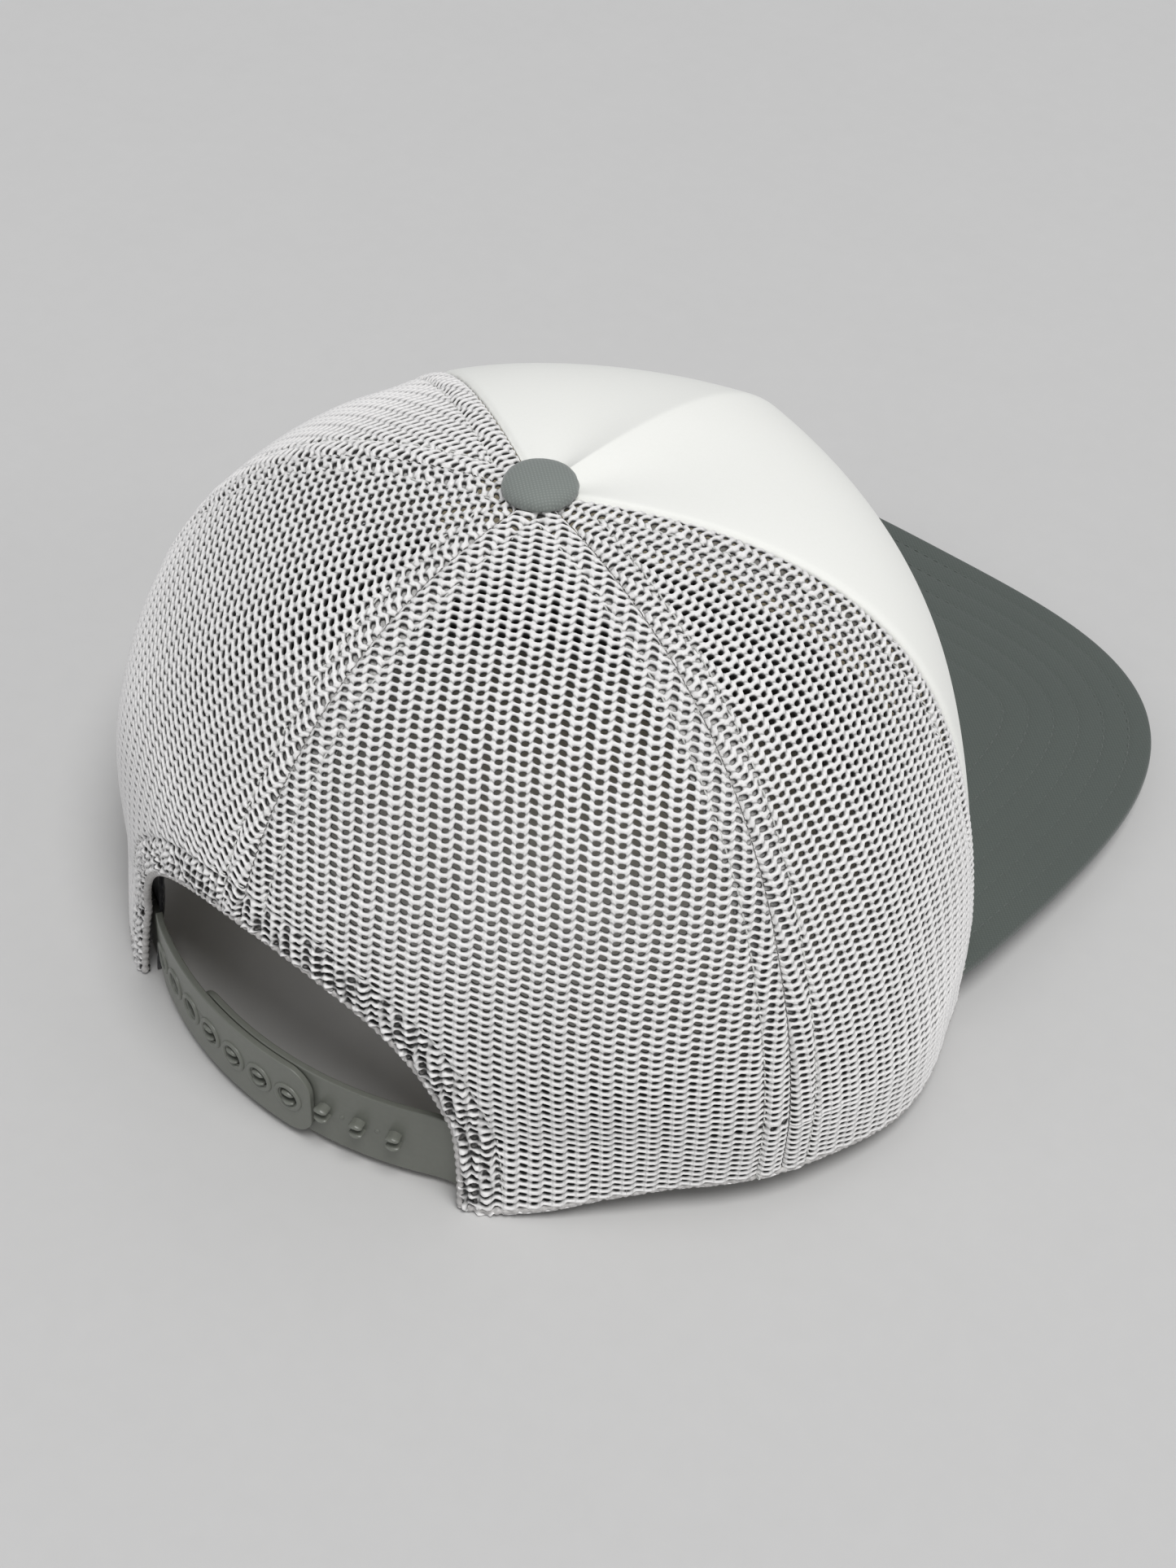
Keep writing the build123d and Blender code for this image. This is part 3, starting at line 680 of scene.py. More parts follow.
# ======== strips, threads and rolls
def strip(name, rows, thickness, material, slot, *nodes):
    """Flat band through rows of points (n, k, 3), given a thickness and softened edges."""
    count, width = rows.shape[:2]
    piece = make_object(name, rows.reshape(-1, 3), grid_faces(count, width))
    tidy_mesh(piece)
    modified(piece, "SOLIDIFY", thickness=thickness, offset=0.0)
    modified(piece, "BEVEL", width=thickness * 0.3, segments=2, limit_method="ANGLE", angle_limit=radians(50))
    return finish_piece(piece, material, slot, *nodes)


STITCH_SIDES = 6
STITCH_RINGS = ((-0.5, 0.15), (-0.4, 0.8), (-0.15, 1.0), (0.15, 1.0), (0.4, 0.8), (0.5, 0.15))


def threads(name, paths, length, gap, radius, material, slot):
    """Runs of separate stitches along paths; each stitch is a small arched grain of thread."""
    points, faces = [], []
    for path in paths:
        marks = resample(path, (length + gap) / 2)
        for start, end in zip(marks[:-1:2], marks[1::2]):
            along = end - start
            along = along / np.linalg.norm(along)
            middle = (start + end) / 2
            up = crown_normal(middle[None])[0] if slot != "visor_cloth" else np.array([0.0, 0.0, 1.0])
            side = np.cross(along, up)
            side /= np.linalg.norm(side)
            up = np.cross(side, along)
            base = len(points)
            for place, scale in STITCH_RINGS:
                centre = middle + along * place * length - up * radius * 1.6 * (2 * place) ** 2
                for turn in circle(STITCH_SIDES):
                    points.append(centre + radius * scale * (cos(turn) * side + sin(turn) * up))
            faces += [tuple(face) for face in base + grid_faces(len(STITCH_RINGS), STITCH_SIDES, wrap=True)]
            faces.append(tuple(base + i for i in range(STITCH_SIDES)))
            top = base + (len(STITCH_RINGS) - 1) * STITCH_SIDES
            faces.append(tuple(top + i for i in reversed(range(STITCH_SIDES))))
    piece = make_object(name, points, faces)
    return finish_piece(piece, material, slot)


TUBE_STEP, RIPPLE_PITCH = 0.45 * MM, 1.9 * MM


def tube(name, path, radius, material, slot, *nodes, ripple=0.0, sides=10):
    """Soft roll of cloth along a path, with a fine ripple where its knit or weave turns over the edge."""
    path = resample(path, TUBE_STEP)
    along = np.gradient(path, axis=0)
    along /= np.linalg.norm(along, axis=1, keepdims=True)
    up = crown_normal(path)
    side = np.cross(along, up)
    side /= np.linalg.norm(side, axis=1, keepdims=True)
    up = np.cross(side, along)
    run = np.arange(len(path)) * TUBE_STEP
    swell = radius * (1 + ripple * np.sin(run * 2 * pi / RIPPLE_PITCH))
    turn = circle(sides)
    rings = path[:, None] + swell[:, None, None] * (
        np.cos(turn)[None, :, None] * side[:, None] + np.sin(turn)[None, :, None] * up[:, None])
    faces = [tuple(f) for f in grid_faces(len(path), sides, wrap=True)]
    faces.append(tuple(range(sides)))
    faces.append(tuple(reversed(range((len(path) - 1) * sides, len(path) * sides))))
    piece = make_object(name, rings.reshape(-1, 3), faces)
    return finish_piece(piece, material, slot, *nodes)


# ======== crown pieces
knitted_panel("side_panel_right", SIDE_SEAM_RIGHT, FRONT_SEAM_RIGHT, 3, "side_mesh_right", False)
knitted_panel("side_panel_left", FRONT_SEAM_LEFT, SIDE_SEAM_LEFT + 360, 5, "side_mesh_left", False)
knitted_panel("back_panel_right", BACK_SEAM, SIDE_SEAM_RIGHT, 7, "back_mesh_right", True)
knitted_panel("back_panel_left", SIDE_SEAM_LEFT, BACK_SEAM, 11, "back_mesh_left", True)

FRONT_STEPS, FRONT_RISE = 150, 90
RIDGE_RISE, RIDGE_SPREAD, RIDGE_ROUND = 0.9 * MM, 7 * MM, 1.2 * MM
FLANK_SAG, FLANK_EDGE = 1.5 * MM, sin(radians(61))
SEAM_DIP, SEAM_DIP_WIDTH, PUFF_WIDTH = 0.9 * MM, 0.9 * MM, 2.2 * MM


def front_layer(name, depth, thickness, material, slot, node, puff, top_level):
    """Layer of the front panel between the front seams: smooth, full, with a soft centre ridge."""
    angles = np.radians(np.linspace(FRONT_SEAM_RIGHT + 0.05, FRONT_SEAM_LEFT - 0.05, FRONT_STEPS))
    top = share_for_radius(270, top_level)
    shares = rising_shares(0.05, top, FRONT_RISE)
    share, angle = np.meshgrid(shares, angles, indexing="ij")
    level = crown_radius(angle, share)
    points = crown_base(angle, share)
    normal = crown_normal(points)
    from_seam = level * np.minimum(np.sin(np.clip(angle - angles[0], 0, pi / 2)),
                                   np.sin(np.clip(angles[-1] - angle, 0, pi / 2)))
    from_ridge = level * np.abs(np.sin(angle - radians(270)))
    lift = puff * (1 - np.exp(-from_seam / PUFF_WIDTH))
    ridge = np.exp(-np.sqrt(from_ridge**2 + RIDGE_ROUND**2) / RIDGE_SPREAD)
    lift += RIDGE_RISE * ridge * np.clip(share * 1.6, 0, 1)
    flank = np.clip(from_ridge / (level + 1e-6), 0, 1)
    lift -= FLANK_SAG * np.sin(pi * np.clip(flank / FLANK_EDGE, 0, 1)) * np.clip(share * 2 - 0.9, 0, 1)
    lift -= SEAM_DIP * hollow(from_seam, 0, SEAM_DIP_WIDTH)
    lift += 0.3 * MM * np.sin(52 * points[..., 0] + 31 * points[..., 2]) * np.sin(40 * points[..., 2] + 1)
    points = above_visor(points + normal * (lift - depth)[..., None])
    piece = make_object(name, points.reshape(-1, 3), grid_faces(FRONT_RISE, FRONT_STEPS))
    tidy_mesh(piece)
    modified(piece, "SOLIDIFY", thickness=thickness, offset=-1.0)
    return finish_piece(piece, material, slot, node)


front_layer("front_face", 0.0, 0.5 * MM, FRONT_CLOTH, "front_cloth", "front_panel", 0.35 * MM, 3 * MM)
front_layer("front_foam_layer", 0.9 * MM, 2.2 * MM, FOAM, "foam", "front_foam", 0.35 * MM, 9 * MM)

# For each tape: its seam's angle, its depth below the crown's face, its CAD node and the share it starts at.
TAPE_DEPTH, FRONT_TAPE_DEPTH, TAPE_THICKNESS = 1.15 * MM, 3.6 * MM, 0.4 * MM
TAPES = {
    "front_tape_right": (FRONT_SEAM_RIGHT, FRONT_TAPE_DEPTH, "front_seam_tape_right", 0.09),
    "front_tape_left": (FRONT_SEAM_LEFT, FRONT_TAPE_DEPTH, "front_seam_tape_left", 0.09),
    "side_tape_right": (SIDE_SEAM_RIGHT, TAPE_DEPTH, "side_seam_tape_right", 0.006),
    "side_tape_left": (SIDE_SEAM_LEFT, TAPE_DEPTH, "side_seam_tape_left", 0.006),
    "back_tape": (BACK_SEAM, TAPE_DEPTH, "back_seam_tape", 0.50),
}
TAPE_HALF_WIDTH = 7.0 * MM
for name, (seam, depth, node, start) in TAPES.items():
    shares = rising_shares(start, share_for_radius(seam, 14 * MM), 70)
    offsets = np.linspace(-TAPE_HALF_WIDTH, TAPE_HALF_WIDTH, 9)
    rows = [crown_points(angle_beside(seam, offset, shares), shares, depth) for offset in offsets]
    strip(name, np.stack(rows, 1), TAPE_THICKNESS, TAPE_CLOTH, "tape", node)


def seam_path(seam, offset, lowest, lift):
    """Path beside a seam from the rim, or the arch, up to the button."""
    shares = rising_shares(lowest, share_for_radius(seam, 9.5 * MM + abs(offset) * 0.5), 200)
    return crown_points(angle_beside(seam, offset, shares), shares, -lift)


seam_threads = []
for seam, lowest in ((SIDE_SEAM_RIGHT, 0.01), (SIDE_SEAM_LEFT, 0.01), (BACK_SEAM, 0.515)):
    for offset in (-STITCH_LINE, STITCH_LINE):
        seam_threads.append(seam_path(seam, offset, lowest, 0.02 * MM))
for seam, side in ((FRONT_SEAM_RIGHT, -1), (FRONT_SEAM_LEFT, 1)):
    seam_threads.append(seam_path(seam, side * STITCH_LINE, 0.09, 0.02 * MM))
MESH_STITCH = (1.9 * MM, 0.9 * MM, 0.2 * MM)
threads("seam_stitching", seam_threads, *MESH_STITCH, MESH_THREAD, "mesh")


def arch_path(share_of_arch, depth, count=160):
    """Path over the rear arch on the crown; share_of_arch above 1 lies outside its edge."""
    turn = np.linspace(0.004, pi - 0.004, count)
    width = ARCH_HALF_WIDTH + (share_of_arch - 1) * ARCH_HALF_WIDTH
    height = ARCH_HEIGHT + (share_of_arch - 1) * ARCH_HALF_WIDTH
    x = width * np.cos(turn)
    z = np.maximum(height * np.sin(turn) ** ARCH_SQUARENESS, 0.3 * MM)
    base = rear_wall(x, z)
    return base + crown_normal(base) * (cloth_lift(base) - depth)[:, None]


hem_shares = 1 + np.linspace(0.01, HEM_WIDTH / ARCH_HALF_WIDTH, 8)
hem_rows = np.stack([arch_path(share, 1.1 * MM) for share in hem_shares], 1)
strip("arch_hem_lining", hem_rows, TAPE_THICKNESS, TAPE_CLOTH, "mesh", "arch_binding")
tube("arch_hem_edge", arch_path(1.004, 0.35 * MM), 0.75 * MM, HEM_CLOTH, "mesh", ripple=0.22)
threads("arch_hem_stitching", [arch_path(1 + HEM_WIDTH / ARCH_HALF_WIDTH, -0.1 * MM)], *MESH_STITCH,
        MESH_THREAD, "mesh")


def thread_end(name, seam, offset):
    """Loose end of the topstitching: a small knot and a short curled tail at the foot of a seam."""
    foot = crown_points(angle_beside(seam, offset, np.array([0.02])), np.array([0.02]), -0.3 * MM)[0]
    outward = np.array([cos(radians(seam)), sin(radians(seam)), 0.0])
    turn = np.linspace(0, 3.2 * pi, 60)
    curl = (0.9 * MM * np.exp(-turn / 7))[:, None] * np.stack(
        [np.cos(turn) * outward[0], np.cos(turn) * outward[1], np.sin(turn)], -1)
    tail = foot + outward * (0.25 * MM * turn / pi)[:, None] + curl - [0, 0, 0.6 * MM]
    tube(name, tail, 0.17 * MM, MESH_THREAD, "mesh", sides=8)


thread_end("thread_end_right", SIDE_SEAM_RIGHT, -STITCH_LINE)
thread_end("thread_end_left", SIDE_SEAM_LEFT, STITCH_LINE)

# Folded lower edge of the mesh, from each end of the opening round to the visor's heel.
ARCH_ANGLE, HEEL_ANGLE = 33.4, 22.5
for name, first, last in (("rim_hem_right", BACK_SEAM + ARCH_ANGLE, 180 + HEEL_ANGLE),
                          ("rim_hem_left", 360 - HEEL_ANGLE, 360 + BACK_SEAM - ARCH_ANGLE)):
    angles = np.radians(np.linspace(first, last, 240))
    rim_path = crown_points(angles, 0.0085, 0.35 * MM)
    tube(name, rim_path, 0.8 * MM, HEM_CLOTH, "mesh", ripple=0.22)
    fold = np.stack([crown_points(angles, share, 1.25 * MM) for share in np.linspace(0.004, 0.075, 7)], 1)
    strip(name + "_fold", fold, TAPE_THICKNESS, TAPE_CLOTH, "mesh")


# ======== sweatband
def sweatband():
    """Folded twill strip inside the rim: rounded top fold, gentle puckers, open at the closure."""
    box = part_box("sweatband")
    lower, upper = box[0].z, box[1].z
    angles = np.radians(np.linspace(90 + 30.8, 360 + 90 - 30.8, 420))
    section = []
    for height in np.linspace(lower, upper - 1 * MM, 12):
        section.append((4.6 * MM, height))
    for turn in np.linspace(0, pi, 7)[1:-1]:
        section.append((5.2 * MM - 0.6 * MM * cos(turn), upper - 1 * MM + 0.8 * MM * sin(turn)))
    for height in np.linspace(upper - 1 * MM, lower, 12):
        section.append((5.8 * MM, height))
    rings = []
    for depth, height in section:
        level = crown_radius(angles, height / CROWN_HEIGHT, depth)
        pucker = 0.25 * MM * np.sin(angles * 160 + height * 300) * (depth > 5.2 * MM)
        pucker = pucker + 0.5 * MM * np.sin(angles * 11) * height / upper
        level = level - np.abs(pucker)
        across, along = level * np.cos(angles), level * np.sin(angles)
        rings.append(np.stack([across, along, np.full(len(angles), height)], -1))
    rows = np.stack(rings, 1)
    arch = np.clip(1.06 - arch_share(rows), 0, 1) * (rows[..., 1] > 0)
    rows[..., 0] += np.sign(rows[..., 0]) * arch * 12 * MM
    width = len(section)
    faces = [tuple(face) for face in grid_faces(len(angles), width, wrap=True)]
    faces += [tuple(range(width)), tuple(reversed(range((len(angles) - 1) * width, len(angles) * width)))]
    piece = turned_out(make_object("sweatband_strip", rows.reshape(-1, 3), faces))
    return finish_piece(piece, BAND_CLOTH, "sweatband_cloth", "sweatband")


sweatband()


# ======== visor
def visor_outline(turn, inset=0.0):
    """Plan points of the visor's edge from right heel (0) to left heel (pi), moved inwards by an inset."""
    def edge(t):
        across = -VISOR_HALF_WIDTH * np.sign(np.cos(t)) * np.abs(np.cos(t)) ** VISOR_SQUARENESS
        return np.stack([across, -VISOR_HEEL - (VISOR_TIP - VISOR_HEEL) * np.sin(t) ** VISOR_SQUARENESS], -1)

    turn = np.clip(turn, 1e-5, pi - 1e-5)
    along = edge(np.clip(turn + 1e-4, 0, pi)) - edge(np.clip(turn - 1e-4, 0, pi))
    along /= np.linalg.norm(along, axis=-1, keepdims=True)
    inward = np.stack([-along[:, 1], along[:, 0]], -1)
    return edge(turn) + inward * inset


def outside_crown(plan, depth):
    """Moves plan points that lie inside the crown's rim out to it."""
    angle = np.arctan2(plan[:, 1], plan[:, 0])
    level = np.hypot(plan[:, 0], plan[:, 1])
    least = crown_radius(angle, 0.0, depth)
    return plan * np.maximum(1, least / level)[:, None]


quarter = np.linspace(0, 1, 401) ** 2 * (pi / 2)
outline_turn = np.concatenate([quarter, pi - quarter[-2::-1]])
lengths = run_along(visor_outline(outline_turn))
EDGE_COUNT = int(lengths[-1] / (1.2 * MM)) + 1
EDGE_TURNS = np.interp(np.linspace(0, lengths[-1], EDGE_COUNT), lengths, outline_turn)
ROW_PITCH = 6.1 * MM
STITCH_ROWS = [5.0 * MM + ROW_PITCH * row for row in range(6)]
OFFSET_LIMIT = 37.5 * MM
# (inset, share of half the thickness) over the edge; (offset, share of the depth) over a stitch groove.
EDGE_ROUND = ((-0.6 * MM, 0.0), (-0.56 * MM, 0.42), (-0.38 * MM, 0.76),
              (0.0, 0.95), (0.7 * MM, 1.0), (2.2 * MM, 1.0))
ROW_GROOVE = ((-1.3 * MM, 0.0), (-0.65 * MM, 0.35), (-0.25 * MM, 0.9),
              (0.25 * MM, 0.9), (0.65 * MM, 0.35), (1.3 * MM, 0.0))
RIM_TUCK, INNER_RINGS = 2.6 * MM, 24
GROOVE_DEPTH = 0.2 * MM


def visor_rings(face):
    """Rings of points on one face of the visor (+1 top, -1 under), from its rounded edge in to the crown."""
    levels = [(inset, share * VISOR_HALF) for inset, share in EDGE_ROUND]
    for row in STITCH_ROWS:
        levels += [(row + offset, VISOR_HALF - GROOVE_DEPTH * part) for offset, part in ROW_GROOVE]
    levels.append((OFFSET_LIMIT, VISOR_HALF))
    rings = [outside_crown(visor_outline(EDGE_TURNS, inset), RIM_TUCK) for inset, _ in levels]
    last = rings[-1]
    angle = np.arctan2(last[:, 1], last[:, 0])
    rim = crown_radius(angle, 0.0, RIM_TUCK)
    inner = np.stack([rim * np.cos(angle), rim * np.sin(angle)], -1)
    rings += [last * (1 - part) + inner * part for part in np.linspace(0, 1, INNER_RINGS)[1:]]
    thicknesses = [thickness for _, thickness in levels] + [VISOR_HALF] * (INNER_RINGS - 1)
    soft = [np.sin(ring[:, 0] * 70 + 1) * np.sin(ring[:, 1] * 55) * 0.12 * MM for ring in rings]
    return np.stack([
        np.column_stack([ring, visor_height(ring[:, 0], ring[:, 1]) + face * thickness + wave])
        for ring, thickness, wave in zip(rings, thicknesses, soft)])


for name, face, node in (("visor_top", 1, "visor_top_cover"), ("visor_underside", -1, "visor_under_cover")):
    rings = visor_rings(face)
    piece = make_object(name, rings.reshape(-1, 3), grid_faces(len(rings), EDGE_COUNT))
    tidy_mesh(piece, 0.03 * MM)
    finish_piece(piece, VISOR_CLOTH, "visor_cloth", node)


def visor_row(inset):
    """Stitch row parallel to the visor's edge, from the crown on one side to the crown on the other."""
    plan = visor_outline(EDGE_TURNS, inset)
    angle = np.arctan2(plan[:, 1], plan[:, 0])
    clear = np.hypot(plan[:, 0], plan[:, 1]) > crown_radius(angle, 0.0) + 1.5 * MM
    plan = plan[clear]
    height = visor_height(plan[:, 0], plan[:, 1]) + VISOR_HALF - 0.16 * MM
    return np.column_stack([plan, height])


threads("visor_stitching", [visor_row(row) for row in STITCH_ROWS], 2.3 * MM, 0.8 * MM, 0.19 * MM,
        VISOR_THREAD, "visor_cloth")


# ======== button
def button():
    """Cloth-covered button: a low dome whose cloth gathers in fine pleats under its edge."""
    low, high = BUTTON_LOW, BUTTON_HIGH
    radius, height = high.x - AXIS.x, high.z - low.z
    sides = 72
    rings = []
    for part in np.linspace(0, 1, 22):
        turn = part * pi / 2
        z = low.z + 0.25 * height + 0.75 * height * cos(turn) ** 0.85
        rings.append((radius * sin(turn) ** 0.9, z, part))
    for part in np.linspace(0, 1, 8)[1:]:
        rings.append((radius * (1 - 0.22 * part**2), low.z + 0.25 * height * (1 - part) - 0.4 * MM * part, 1.0))
    turns = circle(sides)
    points = []
    for level, z, edge in rings:
        pleat = 1 + 0.012 * edge**4 * np.sin(turns * 18) + 0.006 * np.sin(turns * 5 + z * 900)
        points.append(np.stack([level * pleat * np.cos(turns), level * pleat * np.sin(turns),
                                z + 0.06 * MM * np.sin(turns * 3 + 1) * edge], -1))
    piece = make_object("button_cloth_dome", np.concatenate(points), grid_faces(len(rings), sides, wrap=True))
    tidy_mesh(piece, 0.03 * MM)
    return finish_piece(piece, BUTTON_CLOTH, "button_cloth", "button_cover")


button()


# ======== snap straps
ARC_CENTRE = -4.554 * MM
STRAP_LOW, STRAP_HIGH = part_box("hole_strap")[0].z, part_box("hole_strap")[1].z
STRAP_MIDDLE, STRAP_HALF = (STRAP_LOW + STRAP_HIGH) / 2, (STRAP_HIGH - STRAP_LOW) / 2
STRAP_THICKNESS, STRAP_CORNER, STRAP_EDGE = 1.5 * MM, 6.0 * MM, 0.32 * MM
TAB_LENGTH, TAB_DROP, TAB_DEPTH = 17.0 * MM, 3.0 * MM, 2.65 * MM
STRAP_DROP = 3.5 * MM
PEG_PITCH = 8.2 * MM
HOLE_RADIUS = 2.2 * MM
HOLE_RUNS = [PEG_PITCH * step for step in range(5, -2, -1)]
HOLE_STRAP_END, PEG_STRAP_END = -14.2 * MM, -22.0 * MM
RING_RADIUS, RING_WIDTH, RING_HEIGHT = 3.05 * MM, 0.62 * MM, 0.5 * MM
PEG_RADIUS, PEG_LENGTH, PEG_SLOT = 1.95 * MM, 2.7 * MM, 0.8 * MM
DOT_RADIUS, DOT_HEIGHT = 0.55 * MM, 0.22 * MM
BLEND_SPAN = (-1.5 * MM, 3.0 * MM)
PEG_RUNS = [PEG_PITCH * step for step in range(-2, 5)]


def strap_path(hinge):
    """(runs, plan points) of a strap's middle: its arc, then its sewn end along the inside of the crown."""
    side = 1 if hinge.x > 0 else -1
    radius = (hinge.xy - Vector((0, ARC_CENTRE))).length
    hinge_run = radius * atan2(abs(hinge.x), hinge.y - ARC_CENTRE)
    runs = np.arange(-36 * MM, hinge_run - 1.2 * MM, 0.8 * MM)
    arc = np.stack([radius * np.sin(runs / radius), ARC_CENTRE + radius * np.cos(runs / radius)], -1)
    across = np.linspace(abs(hinge.x) + 2.2 * MM, abs(hinge.x) + 24 * MM, 26)
    wide, deep = reach(SIDE_FORM, 0.05, TAB_DEPTH), reach(BACK_FORM, 0.05, TAB_DEPTH)
    wall = np.stack([across, deep * (1 - (across / wide) ** RIM_POWER) ** (1 / RIM_POWER)], -1)
    path = np.concatenate([arc, wall])
    for _ in range(3):
        path[1:-1] = path[1:-1] / 2 + (path[:-2] + path[2:]) / 4
    return runs[0] + run_along(path), path * np.array([side, 1.0]), hinge_run


def strap_outline(end, hinge_run):
    """Outline of a strap laid flat: rounded free end, full height to the hinge, lower sewn end."""
    corner = [(end + STRAP_CORNER * (1 - sin(turn)), -STRAP_HALF + STRAP_CORNER * (1 - cos(turn)))
              for turn in np.linspace(0, pi / 2, 10)]
    tab_high = STRAP_HALF - TAB_DROP
    tab = [(hinge_run + TAB_LENGTH, -STRAP_HALF), (hinge_run + TAB_LENGTH, tab_high),
           (hinge_run + 2.4 * MM, tab_high), (hinge_run + 0.4 * MM, STRAP_HALF)]
    return corner[::-1] + tab + [(run, -height) for run, height in corner]


def flat_plate(outline, holes):
    """Mesh of a flat plate with rounded edges, in (run, height, depth), with round holes."""
    curve = bpy.data.curves.new("plate", "CURVE")
    curve.dimensions = "2D"
    curve.fill_mode = "BOTH"
    curve.extrude = STRAP_THICKNESS / 2 - STRAP_EDGE
    curve.bevel_depth = STRAP_EDGE
    curve.bevel_resolution = 3
    curve.offset = -STRAP_EDGE
    rims = [[(run + HOLE_RADIUS * cos(t), HOLE_RADIUS * sin(t)) for t in -circle(32)] for run in holes]
    for loop in [outline] + rims:
        spline = curve.splines.new("POLY")
        spline.points.add(len(loop) - 1)
        for point, (run, height) in zip(spline.points, loop):
            point.co = (run, height, 0, 1)
        spline.use_cyclic_u = True
    holder = bpy.data.objects.new("plate", curve)
    bpy.context.scene.collection.objects.link(holder)
    graph = bpy.context.evaluated_depsgraph_get()
    mesh = bpy.data.meshes.new_from_object(holder.evaluated_get(graph))
    bpy.data.objects.remove(holder)
    return mesh


def ring_points(run, sides=36):
    """Raised rim round a hole: rings of points for a half-round band on the strap's outer face."""
    rings = []
    for turn in np.linspace(-0.35, pi + 0.35, 9):
        radius = RING_RADIUS + RING_WIDTH * cos(turn)
        depth = STRAP_THICKNESS / 2 + RING_HEIGHT * sin(turn)
        rings.append([(run + radius * cos(t), radius * sin(t), depth) for t in circle(sides)])
    return rings


def lobe_points(run, side, sides=24):
    """Half of a split peg: a D-shaped post with a rounded, slightly swollen head, above or below the slot."""
    rings = []
    for part in np.linspace(0, 1, 12):
        swell = 1 + 0.07 * np.exp(-(((part - 0.72) / 0.16) ** 2))
        shrink = swell * (1 - max(0, (part - 0.55) / 0.45) ** 2.4) ** (1 / 2.4)
        depth = STRAP_THICKNESS / 2 - 0.2 * MM + (PEG_LENGTH + 0.2 * MM) * part
        ring = []
        for t in circle(sides):
            across = PEG_RADIUS * np.sign(cos(t)) * abs(cos(t)) ** 0.8
            up = (PEG_RADIUS - PEG_SLOT) / 2 * np.sign(sin(t)) * abs(sin(t)) ** 0.7
            narrow = sqrt(max(0.05, 1 - ((up + (PEG_RADIUS + PEG_SLOT) / 2) / PEG_RADIUS) ** 2))
            ring.append((run + across * shrink * max(narrow, 0.35),
                         side * ((PEG_RADIUS + PEG_SLOT) / 2 + up * shrink), depth))
        rings.append(ring)
    return rings


def dot_points(run, sides=14):
    """Small low moulding mark on the strap's outer face."""
    return [[(run + DOT_RADIUS * cos(t) * cos(lift), DOT_RADIUS * sin(t) * cos(lift),
              STRAP_THICKNESS / 2 + DOT_HEIGHT * sin(lift)) for t in circle(sides)]
            for lift in np.linspace(-0.2, pi / 2 - 0.05, 6)]


def add_rings(work, rings, capped):
    """Skins rings of points into a bmesh, closing the last one when it is capped."""
    rows = [[work.verts.new(point) for point in ring] for ring in rings]
    for low, high in zip(rows[:-1], rows[1:]):
        for i in range(len(low)):
            j = (i + 1) % len(low)
            work.faces.new((low[i], low[j], high[j], high[i]))
    if capped:
        work.faces.new(rows[-1])


def moulded_strap(name, joint, body, end, holes, pegs, *nodes):
    """One strap: a plate laid flat with its rims or pegs, then bent along the strap's path."""
    hinge = Vector(JOINTS[joint]["pos_m"]) - AXIS
    side = 1 if hinge.x > 0 else -1
    run, path, hinge_run = strap_path(hinge)
    work = bmesh.new()
    work.from_mesh(flat_plate(strap_outline(end, hinge_run), holes))
    bmesh.ops.remove_doubles(work, verts=work.verts, dist=0.005 * MM)
    for cut in np.arange(end + 1 * MM, hinge_run + TAB_LENGTH, 1.3 * MM):
        bmesh.ops.bisect_plane(work, geom=work.verts[:] + work.edges[:] + work.faces[:], dist=1e-6,
                               plane_co=(cut, 0, 0), plane_no=(1, 0, 0))
    for place in holes:
        add_rings(work, ring_points(place), False)
    for place in pegs:
        add_rings(work, lobe_points(place, 1), True)
        add_rings(work, lobe_points(place, -1), True)
    for place in pegs[:-1]:
        add_rings(work, dot_points(place + PEG_PITCH / 2), True)
    along = np.gradient(path, axis=0)
    along /= np.linalg.norm(along, axis=1, keepdims=True)
    outward = np.stack([-along[:, 1], along[:, 0]], -1) * side
    for vert in work.verts:
        x, y = read_off(vert.co.x, run, path) + read_off(vert.co.x, run, outward) * vert.co.z
        vert.co = (x, y, STRAP_MIDDLE - STRAP_DROP + vert.co.y)
    bmesh.ops.recalc_face_normals(work, faces=work.faces)
    mesh = bpy.data.meshes.new(name)
    work.to_mesh(mesh)
    work.free()
    mesh.polygons.foreach_set("use_smooth", [True] * len(mesh.polygons))
    piece = bpy.data.objects.new(name, mesh)
    bpy.context.scene.collection.objects.link(piece)
    modified(piece, "WEIGHTED_NORMAL", keep_sharp=True)
    finish_piece(piece, STRAP_PLASTIC, "strap_plastic", *nodes, body=None)
    towards = Vector((-side, 0.45, 0)).normalized()
    start, end = (AXIS + hinge + towards * distance for distance in BLEND_SPAN)
    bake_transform(piece)
    return piece


moulded_strap("hole_strap_moulding", "outer_strap_swing", "outer_strap", HOLE_STRAP_END, HOLE_RUNS, [],
              "hole_strap", "hole_strap_tab")
moulded_strap("peg_strap_moulding", "inner_strap_swing", "inner_strap", PEG_STRAP_END, [], PEG_RUNS,
              "peg_strap", "peg_strap_tab")

# ======== stage, light and camera
bpy.context.scene.view_settings.view_transform = "Standard"
floor_material = textured("floor_paint", (0.60, 0.595, 0.585), (0.585, 0.58, 0.57), 0.7, 6 * MM, 0.01 * MM)
FLOOR_HALF = 30
corners = [(x * FLOOR_HALF, y * FLOOR_HALF, 0) for x, y in ((-1, -1), (1, -1), (1, 1), (-1, 1))]
floor = make_object("floor", corners, [(0, 1, 2, 3)])
floor.location.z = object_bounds()[0][2] - 0.05 * MM
floor.data.materials.append(floor_material)

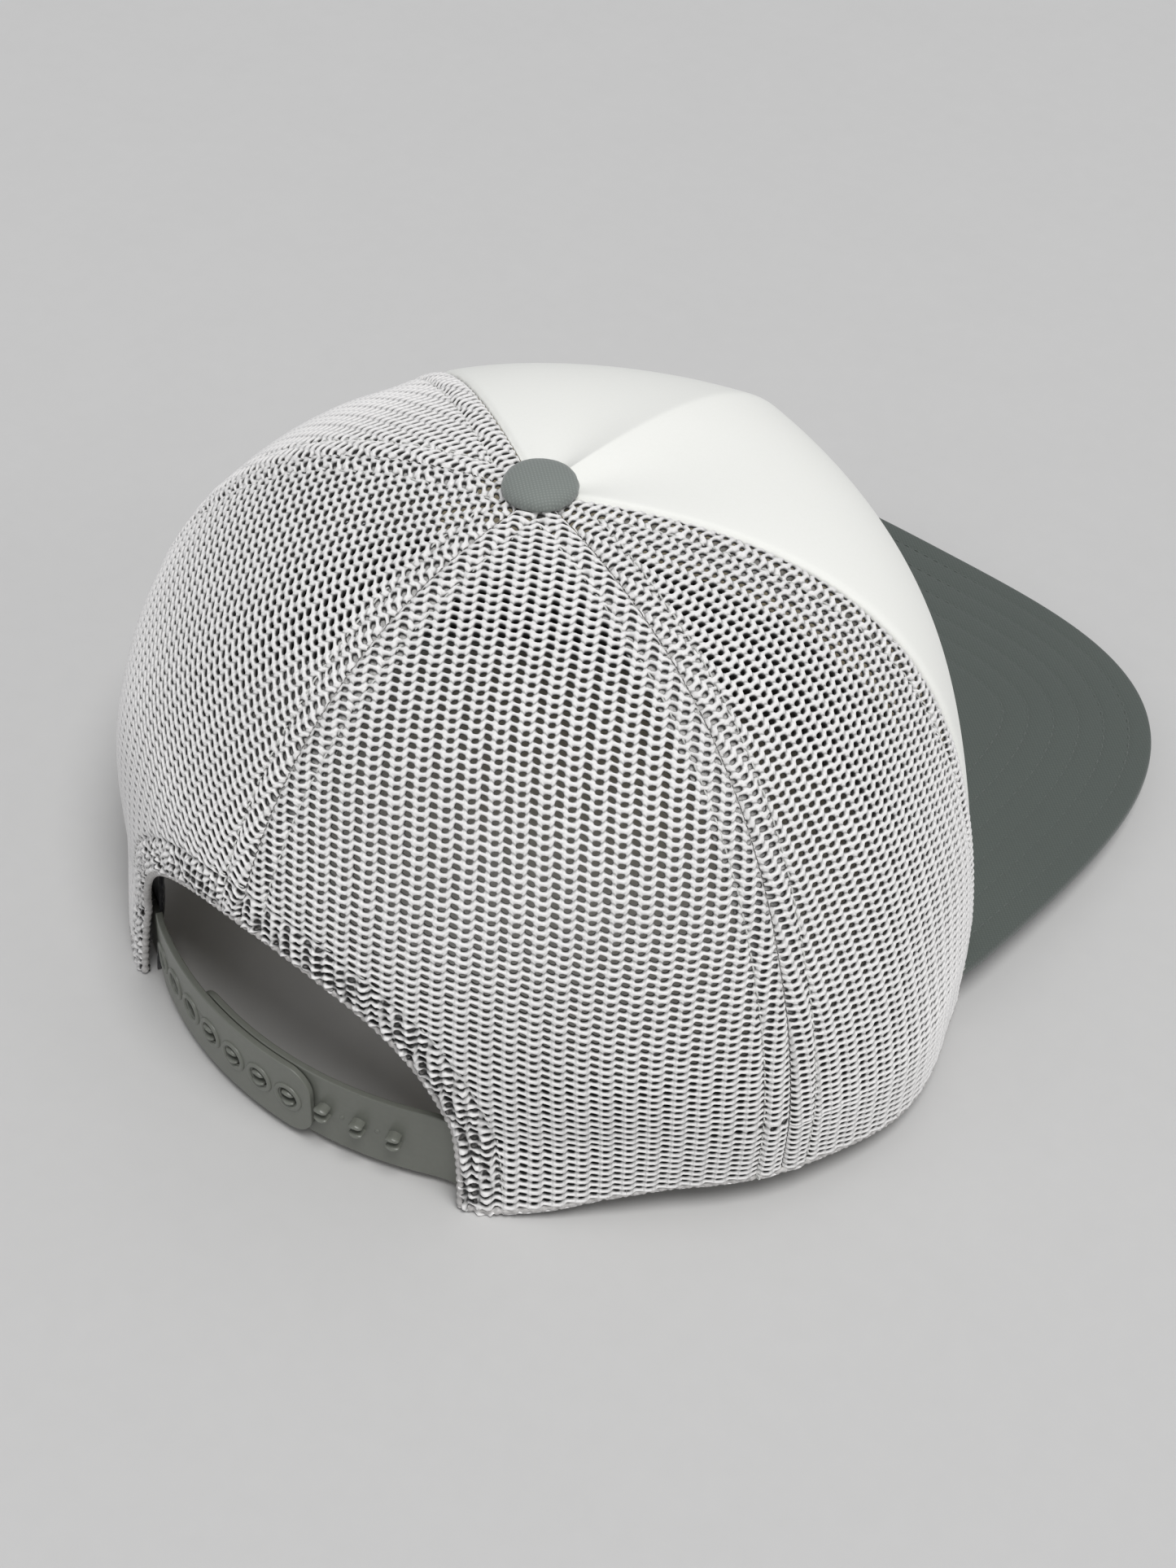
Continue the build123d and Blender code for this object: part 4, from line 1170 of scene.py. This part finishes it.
world = bpy.data.worlds.new("studio")
bpy.context.scene.world = world
world.use_nodes = True
sky = world.node_tree.nodes["Background"]
sky.inputs["Color"].default_value = (0.93, 0.95, 1.0, 1)
sky.inputs["Strength"].default_value = 0.33


def soft_light(name, place, size, power, aim=(0, 0, 0.05)):
    """Square area light at a place, turned to the cap."""
    lamp = bpy.data.lights.new(name, "AREA")
    lamp.size = size
    lamp.energy = power
    holder = bpy.data.objects.new(name, lamp)
    holder.location = AXIS + Vector(place)
    holder.rotation_euler = (Vector(aim) - Vector(place)).to_track_quat("-Z", "Y").to_euler()
    bpy.context.scene.collection.objects.link(holder)


key = bpy.data.lights.new("key", "SUN")
key.energy = 2.0
key.angle = radians(28)
key_holder = bpy.data.objects.new("key", key)
key_holder.rotation_euler = Vector((-0.34, 0.16, 1.0)).to_track_quat("Z", "Y").to_euler()
bpy.context.scene.collection.objects.link(key_holder)
soft_light("back_left", (0.5, 1.1, 0.55), 0.5, 1.0)
soft_light("visor_side", (-1.1, -0.2, 0.8), 0.5, 1.5)

# The camera looks from behind the wearer's right shoulder, down on to the closure.
CAMERA_AZIMUTH, CAMERA_ELEVATION, CAMERA_ROLL = radians(220.5), radians(43.5), radians(1.65)
CAMERA_DISTANCE, CAMERA_LENS = 0.595, 63.65
TARGET = AXIS + Vector((-0.0153, 0.0006, 0.0422))
back = Vector((sin(CAMERA_AZIMUTH) * cos(CAMERA_ELEVATION), -cos(CAMERA_AZIMUTH) * cos(CAMERA_ELEVATION),
               sin(CAMERA_ELEVATION)))
right = (-back).cross(Vector((0, 0, 1))).normalized()
up = right.cross(-back)
rolled_right = right * cos(CAMERA_ROLL) + up * sin(CAMERA_ROLL)
rolled_up = up * cos(CAMERA_ROLL) - right * sin(CAMERA_ROLL)
lens = bpy.data.cameras.new("camera")
lens.lens = CAMERA_LENS
lens.sensor_fit = "VERTICAL"
lens.sensor_height = 36
camera = bpy.data.objects.new("camera", lens)
turned = Matrix((rolled_right, rolled_up, back)).transposed().to_4x4()
camera.matrix_world = Matrix.Translation(TARGET + back * CAMERA_DISTANCE) @ turned
bpy.context.scene.collection.objects.link(camera)
bpy.context.scene.camera = camera
